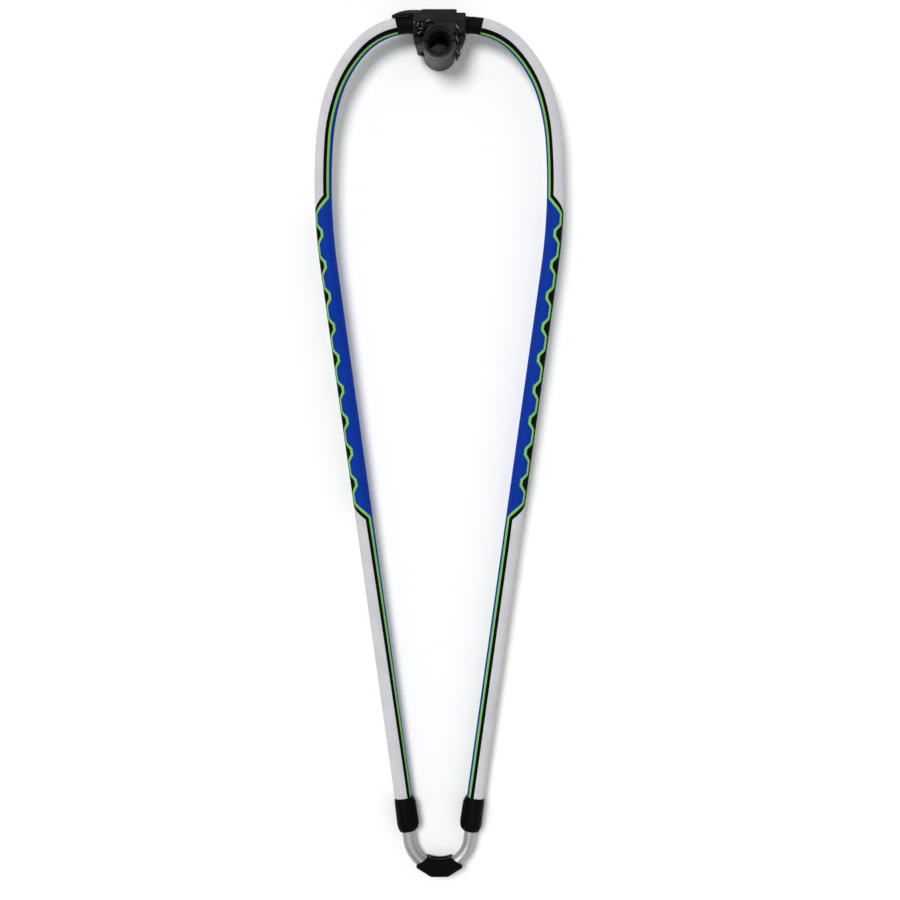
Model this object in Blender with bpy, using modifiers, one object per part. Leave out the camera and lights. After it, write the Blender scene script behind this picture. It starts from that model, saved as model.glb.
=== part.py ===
"""An adjustable windsurf wishbone boom, in metres with +Z up.

The origin is on the mast's axis, in the plane of the tubes. +Y points out of the front of the head
and -Y to the tail, so the boom lies flat as it does on a beach.
"""

import math

import bmesh
import bpy
from mathutils import Matrix, Vector

# Fits between neighbours, and how far a cutting tool runs past the face that it opens
GAP = 0.0003
RUNNING = 0.0006
THROUGH = 0.002

# Mast clamp
MAST_BORE = 0.032
MAST_FLARE = 0.048
PAD_RIM = 0.0015
PAD_SET_BACK = 0.0025
PAD_FLARE_HEIGHT = 0.0210
PAD_FLARE_STEPS = 4
SADDLE_WALL = 0.0021
SADDLE_RIM = 0.0030
SADDLE_HALF_HEIGHT = 0.044
JAW_WALL = 0.0036
JAW_SET_BACK = 0.0008
MAST_SEGMENTS = 32

# Tubes, grips and cuffs
TUBE_OD = 0.027
TUBE_WALL = 0.0016
GRIP_OD = 0.031
CUFF_LENGTH = 0.0295
LEG_OD = 0.022
LEG_WALL = 0.0015
LEG_OVERLAP = 0.100
TAIL_TRAVEL = 0.500
TUBE_SIDES = 14

# Centreline of one arm: half the straight front, four bends, then the long straight
FRONT_SPARE = 0.0035
BENDS = ((0.124, 48.0), (0.228, 26.0), (0.376, 12.0), (1.096, 12.0))
BEND_STEP = 7.0
END_STUB = 0.0008
GRIP_STRAIGHT = 0.962

# Head block, split through the tube into a body and a front cap
HEAD_HALF_WIDTH = 0.0475
BLOCK_REAR = 0.020
CAP_WALL = 0.0019
EDGE_ROUND = 0.0028
CORNER_ROUND = 0.003
SIGHT_GROOVE = (0.0014, 0.0067, 0.0010)
SIGHT_X = -0.009
FLANGE_THICKNESS = 0.004
FLANGE_WALL = 0.0013
FLANGE_SLANT = 0.005
HEAD_SCREW_RADIUS = 0.002
HEAD_SCREW_HEAD_RADIUS = 0.0033
HEAD_SCREW_HEAD = 0.003
HEAD_SCREW_WALL = 0.0015
HEAD_SCREW_COVER = 0.0071

# Clamp lever on the front of the cap
LEVER_PIVOT_INSET = 0.0205
LEVER_HALF_HEIGHT = 0.0122
LEVER_BARREL = 0.0042
LEVER_THICKNESS = 0.0075
LEVER_OVERHANG = 0.0365
LEVER_STRAIGHT_PAST = 0.0065
LEVER_TIP_RADIUS = 0.0016
LEVER_CURL = 0.070
LEVER_STEPS = 5
LEVER_EDGE = 0.0010
LEVER_NECK = 0.006
LEVER_RECESS_DEPTH = 0.0034
LEVER_RECESS_WALL = 0.0037
LEVER_PIN_RADIUS = 0.0015

# Jaw hinge on the left, ear for the clamp line on the right
HINGE_Y = -0.003
HINGE_BARREL = 0.0054
HINGE_CLEAR = 0.0011
HINGE_PIN_RADIUS = 0.0022
LUG_THICKNESS = 0.007
FLANK_ROOT = 27.0
FLANK_FOOT = 0.0010
FLANK_INSET = 0.0015
FLANK_BLEND = 0.006
EAR_FRONT = -0.0015
EAR_REAR = -0.008
EAR_MARGIN = 0.0062
EAR_HEIGHT_PAST = 0.0065
LINE_DIAMETER = 0.005
LINE_CLEAR = 0.0005
LINE_FIT = 0.0004
LINE_INSET = 0.005
LINE_SOCKET = 0.009
FLANK_DROP = 0.007
KNOT_RADIUS = 0.0120
KNOT_INSET = (0.0130, 0.0105)
KNOT_LIFT = 0.0038
KNOT_SQUEEZE = 0.84

# Collars at the ends of the arms, with a hinged clip that carries a lock pin
COLLAR_LENGTH = 0.060
COLLAR_WALL = 0.0031
COLLAR_NECK = 0.0157
COLLAR_FIT = 0.0005
COLLAR_LIP = 0.0045
COLLAR_LIP_STEP = 0.0008
COLLAR_SWELL = 0.0008
COLLAR_SIDES = 20
BOSS_DEPTH = 0.0053
BOSS_HALF_WIDTH = 0.009
BOSS_EDGE = 0.0015
POCKET_WALL = 0.0019
CLIP_HALF_WIDTH = 0.0052
CLIP_HINGE_SET_BACK = 0.0120
CLIP_BARREL = 0.0022
CLIP_PIN_RADIUS = 0.0012
CLIP_MARGIN = 0.009
LOCK_PIN_SET_BACK = 0.0063
LOCK_PIN_RADIUS = 0.002
LOCK_PIN_ENTRY = 0.0014
LOCK_PIN_COVER = 0.0022
LOCK_PITCH = 0.050

# Tail: two bent tubes held in a moulded block with two sheaves
TAIL_STRAIGHT = 0.018
TAIL_STEPS = 9
TAIL_ROOF = 0.0032
TAIL_WALL = 0.0040
TAIL_INNER_X = 0.0202
TAIL_INNER_DIP = 0.0036
TAIL_SLOPE = 0.0045
COVE_STEPS = 64
TAIL_TIP_ANGLE = 40.1
TAIL_TIP_WALL = 0.0026
TAIL_EDGE = 0.0024
TAIL_FILLET = 0.003
TAIL_REAR_FILLET = 0.008
TAIL_REAR_HALF = 0.0152
TAIL_REAR_WALL = 0.0048
TUBE_STOP_WALL = 0.0059
SHEAVE_RADIUS = 0.0066
SHEAVE_GROOVE = 0.0020
SHEAVE_HALF_WIDTH = 0.0042
SHEAVE_SPACING = 0.0016
SHEAVE_PIN_RADIUS = 0.0015
SHEAVE_PIN_COVER = 0.0055
TAIL_SCREW_X = 0.0095
TAIL_SCREW_RADIUS = 0.0015
TAIL_SCREW_HEAD_RADIUS = 0.0028
TAIL_SCREW_HEAD = 0.0026
TAIL_SCREW_COVER = 0.0055

# Sizes that follow from the ones above: tubes and mast clamp
TUBE_RADIUS = TUBE_OD / 2
GRIP_RADIUS = GRIP_OD / 2
LEG_RADIUS = LEG_OD / 2
PAD_OUTER = MAST_FLARE / 2 + PAD_RIM
PAD_HALF_HEIGHT = SADDLE_HALF_HEIGHT - PAD_SET_BACK
SEAT_RADIUS = PAD_OUTER + GAP
SADDLE_RADIUS = SEAT_RADIUS + SADDLE_RIM
JAW_RADIUS = SEAT_RADIUS + JAW_WALL
JAW_HALF_HEIGHT = SADDLE_HALF_HEIGHT - JAW_SET_BACK
TUBE_SEAT = TUBE_RADIUS + GAP
FRONT_Y = SEAT_RADIUS + SADDLE_WALL + TUBE_SEAT
FRONT_HALF = HEAD_HALF_WIDTH + FRONT_SPARE
CUFF_END = HEAD_HALF_WIDTH + CUFF_LENGTH
GRIP_END = FRONT_HALF + sum(radius * math.radians(sweep) for radius, sweep in BENDS) + GRIP_STRAIGHT
CONVERGENCE = math.radians(sum(sweep for radius, sweep in BENDS)) - math.pi / 2

# Head, lever and jaw
CAP_FRONT = FRONT_Y + TUBE_SEAT + CAP_WALL
HEAD_SCREW_Z = TUBE_SEAT + HEAD_SCREW_WALL + HEAD_SCREW_RADIUS + GAP
HEAD_SCREW_EDGE = HEAD_SCREW_HEAD_RADIUS + GAP + EDGE_ROUND
HEAD_SCREW_X = HEAD_HALF_WIDTH - HEAD_SCREW_EDGE
HEAD_HALF_HEIGHT = HEAD_SCREW_Z + HEAD_SCREW_EDGE
LEVER_PIVOT_X = HEAD_HALF_WIDTH - LEVER_PIVOT_INSET
LEVER_PIVOT_Y = CAP_FRONT + RUNNING + LEVER_BARREL
LEVER_TIP_X = -HEAD_HALF_WIDTH - LEVER_OVERHANG
LEVER_CURL_X = -HEAD_HALF_WIDTH - LEVER_STRAIGHT_PAST
HINGE_X = -SADDLE_RADIUS - HINGE_CLEAR - HINGE_BARREL
LINE_X = SADDLE_RADIUS + LINE_CLEAR + LINE_DIAMETER / 2
LINE_Z = HEAD_HALF_HEIGHT - LINE_INSET
FLANK_HALF_HEIGHT = LINE_Z - FLANK_DROP
EAR_X = LINE_X + EAR_MARGIN
KNOT_CENTRE = (-HEAD_HALF_WIDTH + KNOT_INSET[0], BLOCK_REAR + KNOT_INSET[1])

# Collars, measured along the arm from the collar's front and inwards from the arm's centreline
COLLAR_START = GRIP_END + GAP
COLLAR_SEAT = COLLAR_LENGTH - COLLAR_NECK
TUBE_END = COLLAR_START + COLLAR_SEAT - GAP
LEG_END = COLLAR_START + COLLAR_LENGTH
LEG_REACH = TAIL_TRAVEL + LEG_OVERLAP
TUBE_BORE = TUBE_RADIUS + COLLAR_FIT
LEG_BORE = LEG_RADIUS + COLLAR_FIT
POCKET_FLOOR = TUBE_BORE + POCKET_WALL
BOSS_REACH = POCKET_FLOOR + BOSS_DEPTH
CLIP_HINGE = (POCKET_FLOOR + CLIP_BARREL + GAP, CLIP_HINGE_SET_BACK)
CLIP_END = COLLAR_LENGTH - CLIP_MARGIN
LOCK_PIN_Z = COLLAR_SEAT - LOCK_PIN_SET_BACK
LOCK_COUNT = int(TAIL_TRAVEL / LOCK_PITCH + 0.5) + 1

# Tail
TAIL_HALF_HEIGHT = LEG_RADIUS + GAP + TAIL_ROOF
SHEAVE_X = SHEAVE_RADIUS + SHEAVE_SPACING / 2
SLOT_HALF = SHEAVE_X + SHEAVE_RADIUS + RUNNING
TAIL_TUBE_END_X = SLOT_HALF + TUBE_STOP_WALL
SHEAVE_PIN_HALF = TAIL_HALF_HEIGHT - SHEAVE_PIN_COVER
TAIL_SCREW_TOP = TAIL_HALF_HEIGHT - TAIL_SCREW_COVER

FINISHES = {
    "alloy": ((0.78, 0.79, 0.80), 0.28, 1.0),
    "tube": ((0.60, 0.61, 0.63), 0.35, 1.0),
    "steel": ((0.62, 0.62, 0.64), 0.25, 1.0),
    "grip": ((0.015, 0.08, 0.55), 0.60, 0.0),
    "cuff": ((0.012, 0.012, 0.013), 0.45, 0.0),
    "head": ((0.018, 0.018, 0.020), 0.45, 0.0),
    "jaw": ((0.060, 0.060, 0.065), 0.35, 0.0),
    "lever": ((0.022, 0.022, 0.024), 0.40, 0.0),
    "rubber": ((0.020, 0.022, 0.021), 0.80, 0.0),
    "line": ((0.030, 0.030, 0.033), 0.85, 0.0),
    "collar": ((0.010, 0.011, 0.011), 0.42, 0.0),
    "clip": ((0.014, 0.015, 0.015), 0.38, 0.0),
    "sheave": ((0.55, 0.55, 0.52), 0.45, 0.0),
}

for leftover in list(bpy.data.objects):
    bpy.data.objects.remove(leftover, do_unlink=True)

parts = bpy.data.collections.new("wishbone_boom")
cutters = bpy.data.collections.new("cutters")
bpy.context.scene.collection.children.link(parts)
bpy.context.scene.collection.children.link(cutters)


# Helpers for outlines and routes

def rounded(corners, steps=4):
    """A closed outline from (x, y, fillet radius) corners, with each fillet made an arc."""
    outline = []
    count = len(corners)
    for index, (x, y, radius) in enumerate(corners):
        corner = Vector((x, y))
        if radius <= 0:
            outline.append((x, y))
            continue
        before = (Vector(corners[index - 1][:2]) - corner).normalized()
        after = (Vector(corners[(index + 1) % count][:2]) - corner).normalized()
        half = before.angle(after) / 2
        bisector = (before + after).normalized()
        centre = corner + bisector * (radius / math.sin(half))
        start = corner + before * (radius / math.tan(half)) - centre
        turn = math.pi - 2 * half
        if before.cross(after) > 0:
            turn = -turn
        for step in range(steps + 1):
            outline.append(tuple(centre + Matrix.Rotation(turn * step / steps, 2) @ start))
    return outline


def arc(centre, radius, start, end, segments):
    """Points along a circle from the start to the end angle, in degrees."""
    points = []
    for step in range(segments + 1):
        angle = math.radians(start + (end - start) * step / segments)
        points.append((centre[0] + radius * math.cos(angle), centre[1] + radius * math.sin(angle)))
    return points


def smooth_route(points, per_span):
    """A Catmull-Rom curve through the points of a cord's route."""
    knots = [Vector(point) for point in points]
    knots = [2 * knots[0] - knots[1], *knots, 2 * knots[-1] - knots[-2]]
    route = []
    for a, b, c, d in zip(knots, knots[1:], knots[2:], knots[3:]):
        for step in range(per_span):
            t = step / per_span
            cubic = (3 * b - a - 3 * c + d) * t ** 3
            route.append(b + ((c - a) * t + (2 * a - 5 * b + 4 * c - d) * t ** 2 + cubic) / 2)
    route.append(knots[-2])
    return route


def arm_place(distance):
    """The point and heading on an arm's centreline, measured from the middle of the front."""
    side = 1 if distance >= 0 else -1
    left = abs(distance)
    x, y, heading = 0.0, FRONT_Y, 0.0
    runs = [(None, FRONT_HALF)]
    runs += [(radius, radius * math.radians(sweep)) for radius, sweep in BENDS]
    runs += [(None, left)]
    for radius, length in runs:
        used = min(left, length)
        if radius is None:
            x += used * math.cos(heading)
            y -= used * math.sin(heading)
        else:
            turned_to = heading + used / radius
            x += radius * (math.sin(turned_to) - math.sin(heading))
            y += radius * (math.cos(turned_to) - math.cos(heading))
            heading = turned_to
        left -= used
        if left <= 0:
            break
    return Vector((side * x, y, 0)), heading


def arm_points(start, end, square_ends=True):
    """Centreline points between two distances, close together only where the tube bends."""
    bends = [FRONT_HALF, CUFF_END]
    reached = FRONT_HALF
    for radius, sweep in BENDS:
        steps = math.ceil(sweep / BEND_STEP)
        bends += [reached + radius * math.radians(sweep) * step / steps for step in range(1, steps + 1)]
        reached += radius * math.radians(sweep)
    marks = [start, end]
    if square_ends:
        marks += [start + END_STUB, end - END_STUB]
    for bend in bends:
        marks += [side * bend for side in (-1, 1) if start + 2 * END_STUB < side * bend < end - 2 * END_STUB]
    return [arm_place(mark)[0] for mark in sorted(marks)]


def arm_frame(distance):
    """A frame on the right arm: X to the boom's inside, Z along the arm to the tail."""
    point, heading = arm_place(distance)
    along = Vector((math.cos(heading), -math.sin(heading), 0))
    inward = Vector((-math.sin(heading), -math.cos(heading), 0))
    frame = Matrix.Identity(4)
    frame.col[0][:3] = inward
    frame.col[1][:3] = along.cross(inward)
    frame.col[2][:3] = along
    frame.translation = point
    return frame


# Helpers for solids

def finish(name):
    """The material of one finish, made once."""
    if name not in bpy.data.materials:
        colour, roughness, metallic = FINISHES[name]
        material = bpy.data.materials.new(name)
        material.use_nodes = True
        shader = material.node_tree.nodes["Principled BSDF"]
        shader.inputs["Base Color"].default_value = (*colour, 1)
        shader.inputs["Roughness"].default_value = roughness
        shader.inputs["Metallic"].default_value = metallic
        material.diffuse_color = (*colour, 1)
    return bpy.data.materials[name]


def solid(name, mesh):
    """An object for a mesh, not yet in a collection."""
    mesh.name = name
    return bpy.data.objects.new(name, mesh)


def evaluated_mesh(thing):
    """The mesh that an object's modifiers give, in its own coordinates."""
    bpy.context.view_layer.update()
    evaluated = thing.evaluated_get(bpy.context.evaluated_depsgraph_get())
    return bpy.data.meshes.new_from_object(evaluated)


def curve_mesh(curve):
    """A curve made a mesh, with its caps welded and flat regions joined."""
    holder = bpy.data.objects.new(curve.name, curve)
    cutters.objects.link(holder)
    mesh = evaluated_mesh(holder)
    bpy.data.objects.remove(holder, do_unlink=True)
    shape = bmesh.new()
    shape.from_mesh(mesh)
    bmesh.ops.remove_doubles(shape, verts=shape.verts, dist=1e-6)
    bmesh.ops.recalc_face_normals(shape, faces=shape.faces)
    shape.to_mesh(mesh)
    shape.free()
    return mesh


def sweep(name, points, radius, sides=TUBE_SIDES, capped=True):
    """A round bar along points, or its bare skin when it isn't capped."""
    curve = bpy.data.curves.new(name, "CURVE")
    curve.dimensions = "3D"
    curve.twist_mode = "Z_UP"
    curve.bevel_depth = radius
    curve.bevel_resolution = (sides - 4) // 2
    curve.use_fill_caps = capped
    spline = curve.splines.new("POLY")
    spline.points.add(len(points) - 1)
    for spline_point, place in zip(spline.points, points):
        spline_point.co = (*place, 1)
    return solid(name, curve_mesh(curve))


def hollow(name, points, outer, wall, sides=TUBE_SIDES):
    """A tube along points, its wall grown inwards from the outer skin."""
    tube = sweep(name, points, outer, sides, capped=False)
    thickness = tube.modifiers.new("wall", "SOLIDIFY")
    thickness.thickness = wall
    thickness.offset = -1
    return tube


def plate(name, outline, low, high, edge=0.0, rounded_edge=None, edge_steps=1):
    """A flat outline given a thickness, with its rim rounded where the test allows."""
    curve = bpy.data.curves.new(name, "CURVE")
    curve.dimensions = "2D"
    curve.fill_mode = "BOTH"
    curve.extrude = (high - low) / 2
    spline = curve.splines.new("POLY")
    spline.points.add(len(outline) - 1)
    spline.use_cyclic_u = True
    for spline_point, (x, y) in zip(spline.points, outline):
        spline_point.co = (x, y, 0, 1)
    mesh = curve_mesh(curve)
    shape = bmesh.new()
    shape.from_mesh(mesh)
    bmesh.ops.dissolve_limit(shape, angle_limit=math.radians(0.5), verts=shape.verts, edges=shape.edges)
    bmesh.ops.translate(shape, vec=(0, 0, (low + high) / 2), verts=shape.verts)
    if edge > 0:
        rim = [
            line for line in shape.edges
            if abs(line.verts[0].co.z - line.verts[1].co.z) < 1e-6
            and (rounded_edge is None or rounded_edge((line.verts[0].co + line.verts[1].co) / 2))
        ]
        bmesh.ops.bevel(shape, geom=rim, offset=edge, segments=edge_steps, profile=0.5, affect="EDGES")
    shape.to_mesh(mesh)
    shape.free()
    return solid(name, mesh)


def rod(name, start, end, radius, sides=16):
    """A cylinder between two points."""
    start, end = Vector(start), Vector(end)
    axis = end - start
    shape = bmesh.new()
    bmesh.ops.create_cone(shape, cap_ends=True, segments=sides, radius1=radius, radius2=radius,
                          depth=axis.length)
    turn = axis.to_track_quat("Z", "Y").to_matrix().to_4x4()
    bmesh.ops.transform(shape, matrix=Matrix.Translation((start + end) / 2) @ turn, verts=shape.verts)
    mesh = bpy.data.meshes.new(name)
    shape.to_mesh(mesh)
    shape.free()
    return solid(name, mesh)


def block(name, low, high):
    """A box between two corners."""
    low, high = Vector(low), Vector(high)
    shape = bmesh.new()
    bmesh.ops.create_cube(shape, size=1)
    bmesh.ops.scale(shape, vec=high - low, verts=shape.verts)
    bmesh.ops.translate(shape, vec=(low + high) / 2, verts=shape.verts)
    mesh = bpy.data.meshes.new(name)
    shape.to_mesh(mesh)
    shape.free()
    return solid(name, mesh)


def turned(name, profile, steps):
    """A closed (radius, height) profile, given from its outer top downwards, turned round Z."""
    shape = bmesh.new()
    corners = [shape.verts.new((radius, 0, height)) for radius, height in profile]
    for first, second in zip(corners, corners[1:] + corners[:1]):
        shape.edges.new((first, second))
    mesh = bpy.data.meshes.new(name)
    shape.to_mesh(mesh)
    shape.free()
    thing = solid(name, mesh)
    spin = thing.modifiers.new("turn", "SCREW")
    spin.angle = 2 * math.pi
    spin.steps = steps
    spin.render_steps = steps
    spin.use_merge_vertices = True
    spin.merge_threshold = 1e-6
    return thing


def combine(thing, tools, operation):
    """Join tools to an object or cut them from it."""
    for tool in tools:
        if tool.name not in cutters.objects:
            cutters.objects.link(tool)
        tool.hide_render = True
        tool.display_type = "WIRE"
        step = thing.modifiers.new(operation.lower(), "BOOLEAN")
        step.operation = operation
        step.solver = "EXACT"
        step.object = tool
    return thing


def join(thing, *tools):
    return combine(thing, tools, "UNION")


def cut(thing, *tools):
    return combine(thing, tools, "DIFFERENCE")


def carrier(name, place):
    """An empty on a joint's axis that carries the pieces of one body."""
    empty = bpy.data.objects.new(name, None)
    empty.location = place
    empty.empty_display_size = 0.02
    parts.objects.link(empty)
    return empty


def add(thing, look, body):
    """Put a finished piece in the boom, on the body that carries it."""
    thing.data.materials.clear()
    thing.data.materials.append(finish(look))
    thing.data.shade_smooth()
    thing.data.set_sharp_from_angle(angle=math.radians(32))
    parts.objects.link(thing)
    thing.parent = body
    thing.matrix_parent_inverse = Matrix.Translation(-body.location)
    return thing


def twin(right_piece, name, look, body):
    """The left-hand copy of a right-hand piece, mirrored across the boom."""
    mesh = evaluated_mesh(right_piece)
    mesh.transform(Matrix.Diagonal((-1, 1, 1, 1)) @ right_piece.matrix_world)
    mesh.flip_normals()
    return add(solid(name, mesh), look, body)


def place(thing, frame):
    """Turn a piece or a tool that was made in a local frame into the boom's frame."""
    thing.matrix_world = frame
    return thing


# Bodies: each empty stands on its joint's axis
frame_body = carrier("boom_frame", (0, 0, 0))
lever_body = carrier("lever_hinge", (LEVER_PIVOT_X, LEVER_PIVOT_Y, 0))
jaw_body = carrier("jaw_hinge", (HINGE_X, HINGE_Y, 0))
collar_frame = arm_frame(COLLAR_START)
clip_axis = collar_frame @ Vector((CLIP_HINGE[0], 0, CLIP_HINGE[1]))
clip_right_body = carrier("clip_right_hinge", clip_axis)
clip_left_body = carrier("clip_left_hinge", (-clip_axis.x, clip_axis.y, 0))

# The tail's bend is tangent to both legs and meets itself on the boom's centreline
leg_exit, leg_heading = arm_place(LEG_END + TAIL_STRAIGHT)
BEND_RADIUS = leg_exit.x / math.cos(CONVERGENCE)
BEND_Y = leg_exit.y + BEND_RADIUS * math.sin(CONVERGENCE)
SHEAVE_Y = BEND_Y - BEND_RADIUS + LEG_RADIUS - SHEAVE_RADIUS - GAP
tail_body = carrier("tail_slide", (0, BEND_Y, 0))
sheave_right_body = carrier("sheave_right_axle", (SHEAVE_X, SHEAVE_Y, 0))
sheave_left_body = carrier("sheave_left_axle", (-SHEAVE_X, SHEAVE_Y, 0))

# Main tube: one alloy tube bent round the front, with a lock hole near each end
main_tube = hollow("main_tube", arm_points(-TUBE_END, TUBE_END, False), TUBE_RADIUS, TUBE_WALL)
tube_hole_radius = LOCK_PIN_RADIUS + 0.0015
lock_hole_right = place(
    rod("tube_lock_hole_right", (LEG_RADIUS, 0, LOCK_PIN_Z), (POCKET_FLOOR, 0, LOCK_PIN_Z),
        tube_hole_radius, 10),
    collar_frame,
)
lock_hole_left = place(
    rod("tube_lock_hole_left", (LEG_RADIUS, 0, LOCK_PIN_Z), (POCKET_FLOOR, 0, LOCK_PIN_Z),
        tube_hole_radius, 10),
    Matrix.Diagonal((-1, 1, 1, 1)) @ collar_frame @ Matrix.Diagonal((1, -1, 1, 1)),
)
cut(main_tube, lock_hole_right, lock_hole_left)
add(main_tube, "tube", frame_body)

# Grips and cuffs: foam sleeves on the tube, with a plain cuff beside the head
sleeve_wall = GRIP_RADIUS - TUBE_SEAT
cuff_start = HEAD_HALF_WIDTH + GAP
cuff_right = hollow("cuff_right", arm_points(cuff_start, CUFF_END), GRIP_RADIUS, sleeve_wall)
add(cuff_right, "cuff", frame_body)
twin(cuff_right, "cuff_left", "cuff", frame_body)
grip_right = hollow("grip_right", arm_points(CUFF_END + GAP, GRIP_END), GRIP_RADIUS, sleeve_wall)
add(grip_right, "grip", frame_body)
twin(grip_right, "grip_left", "grip", frame_body)

# Tools that shape both halves of the head
seat_end = HEAD_HALF_WIDTH + THROUGH
tube_seat = rod("tube_seat", (-seat_end, FRONT_Y, 0), (seat_end, FRONT_Y, 0), TUBE_SEAT, TUBE_SIDES)
tube_seat.data.transform(
    Matrix.Translation((0, FRONT_Y, 0)) @ Matrix.Rotation(math.pi / TUBE_SIDES, 4, "X")
    @ Matrix.Translation((0, -FRONT_Y, 0))
)
screw_places = [(x, z) for x in (-HEAD_SCREW_X, HEAD_SCREW_X) for z in (-HEAD_SCREW_Z, HEAD_SCREW_Z)]
screw_seat = CAP_FRONT - HEAD_SCREW_HEAD - GAP
screw_end = BLOCK_REAR + HEAD_SCREW_COVER
screw_holes = []
screw_recesses = []
for x, z in screw_places:
    screw_holes.append(rod("screw_hole", (x, screw_end - GAP, z), (x, CAP_FRONT + GAP, z),
                           HEAD_SCREW_RADIUS + GAP, 8))
    screw_recesses.append(rod("screw_recess", (x, screw_seat - GAP, z), (x, CAP_FRONT + THROUGH, z),
                              HEAD_SCREW_HEAD_RADIUS + GAP, 12))

# The clamp line's route: in a bed on top of the head, through the ear, behind it and back to the head
line_sunk = HEAD_HALF_HEIGHT - 0.0012
bed_run = [
    (LINE_X, CAP_FRONT - 0.0049, line_sunk - 0.0060), (LINE_X, CAP_FRONT - 0.0104, line_sunk - 0.0032),
    (LINE_X, FRONT_Y - 0.0017, line_sunk - 0.0004), (LINE_X, BLOCK_REAR + 0.0100, line_sunk),
    (LINE_X, BLOCK_REAR, line_sunk - 0.0004),
]
ear_run = [
    (LINE_X, 0.0100, LINE_Z + 0.0014), (LINE_X, -0.0010, LINE_Z), (LINE_X, -0.0060, LINE_Z),
    (LINE_X, -0.0110, LINE_Z - 0.0010), (LINE_X, -0.0152, LINE_Z - 0.0050),
    (LINE_X, -0.0166, LINE_Z - 0.0110),
]
back_run = [(x, y, -z) for x, y, z in reversed(ear_run[1:])]
back_run += [(LINE_X, 0.0100, -LINE_Z), (LINE_X, BLOCK_REAR + LINE_SOCKET - GAP, -LINE_Z)]
line_route = smooth_route(bed_run + ear_run + back_run, 2)
bed_radius = LINE_DIAMETER / 2 + LINE_FIT
bed_end = (LINE_X, CAP_FRONT - 0.0049 + GAP, line_sunk - 0.0060 - GAP / 2)
bed_route = smooth_route([bed_end, *bed_run[1:], (LINE_X, BLOCK_REAR - THROUGH, line_sunk - 0.0008)], 2)
line_bed = sweep("line_bed", bed_route, bed_radius, 12)

# Head body: the moulded rear half, with the mast saddle, the hinge ear and two line sockets
split = FRONT_Y - GAP / 2
body_outline = rounded([
    (-HEAD_HALF_WIDTH, split, 0), (-HEAD_HALF_WIDTH, BLOCK_REAR, CORNER_ROUND),
    (HEAD_HALF_WIDTH, BLOCK_REAR, CORNER_ROUND), (HEAD_HALF_WIDTH, split, 0),
])
head_body = plate("head_body", body_outline, -HEAD_HALF_HEIGHT, HEAD_HALF_HEIGHT, EDGE_ROUND,
                  lambda middle: middle.y < split - GAP, 2)
saddle = plate("saddle", arc((0, GAP), SADDLE_RADIUS, 0, 180, MAST_SEGMENTS // 2),
               -SADDLE_HALF_HEIGHT, SADDLE_HALF_HEIGHT)
inner_flank = SADDLE_RADIUS + FLANK_FOOT
root_x, root_y = arc((0, 0), (SEAT_RADIUS + SADDLE_RADIUS) / 2, FLANK_ROOT, FLANK_ROOT, 1)[0]
root_top = (root_x, BLOCK_REAR + FLANK_BLEND)
flank_top = (HEAD_HALF_WIDTH - FLANK_INSET / 3, BLOCK_REAR + FLANK_BLEND)
flank_turn = (HEAD_HALF_WIDTH - FLANK_INSET, BLOCK_REAR - FLANK_BLEND)
right_flank = plate("right_flank", rounded([
    (*flank_top, 0), (*flank_turn, 0.010), (EAR_X + FLANK_INSET, FLANK_FOOT, 0.003),
    (inner_flank, FLANK_FOOT, 0.001), (root_x, root_y, 0), (*root_top, 0),
]), -FLANK_HALF_HEIGHT, FLANK_HALF_HEIGHT, 0.001, lambda middle: middle.x > inner_flank)
hinge_ear = arc((HINGE_X, HINGE_Y), HINGE_BARREL, 0, -180, 12)
left_flank = plate("left_flank", [
    (-root_top[0], root_top[1]), (-root_x, root_y), (HINGE_X + HINGE_BARREL, FLANK_FOOT), *hinge_ear,
    (-flank_turn[0], flank_turn[1]), (-flank_top[0], flank_top[1]),
], -FLANK_HALF_HEIGHT, FLANK_HALF_HEIGHT)
seat_top = SADDLE_HALF_HEIGHT + THROUGH
mast_seat = rod("mast_seat", (0, 0, -seat_top), (0, 0, seat_top), SEAT_RADIUS, MAST_SEGMENTS)
lug_low = FLANK_HALF_HEIGHT + GAP
jaw_pin_half = lug_low + LUG_THICKNESS
hinge_hole = rod("hinge_hole", (HINGE_X, HINGE_Y, -jaw_pin_half - THROUGH),
                 (HINGE_X, HINGE_Y, jaw_pin_half + THROUGH), HINGE_PIN_RADIUS + GAP)
line_socket = rod("line_socket", (LINE_X, BLOCK_REAR - THROUGH, -LINE_Z),
                  (LINE_X, BLOCK_REAR + LINE_SOCKET, -LINE_Z), bed_radius, 12)
groove_width, groove_length, groove_depth = SIGHT_GROOVE
sight_groove = block("sight_groove",
                     (SIGHT_X - groove_width / 2, split - groove_length, HEAD_HALF_HEIGHT - groove_depth),
                     (SIGHT_X + groove_width / 2, split + THROUGH, HEAD_HALF_HEIGHT + THROUGH))
join(head_body, saddle, right_flank, left_flank)
cut(head_body, mast_seat, tube_seat, hinge_hole, *screw_holes, line_bed, line_socket, sight_groove)
add(head_body, "head", frame_body)

# Head cap: the moulded front half, with two flanges that carry the lever's pin
cap_outline = rounded([
    (-HEAD_HALF_WIDTH, FRONT_Y + GAP / 2, 0), (HEAD_HALF_WIDTH, FRONT_Y + GAP / 2, 0),
    (HEAD_HALF_WIDTH, CAP_FRONT, CORNER_ROUND), (-HEAD_HALF_WIDTH, CAP_FRONT, CORNER_ROUND),
])
head_cap = plate("head_cap", cap_outline, -HEAD_HALF_HEIGHT, HEAD_HALF_HEIGHT, EDGE_ROUND,
                 lambda middle: middle.y > FRONT_Y + GAP, 2)
flange_low = LEVER_HALF_HEIGHT + GAP
flange_high = flange_low + FLANGE_THICKNESS
flange_left = -HEAD_SCREW_X + HEAD_SCREW_EDGE - EDGE_ROUND / 2
flange_right = LEVER_PIVOT_X + LEVER_BARREL
flange_front = LEVER_PIVOT_Y + LEVER_PIN_RADIUS + GAP + FLANGE_WALL
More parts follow.
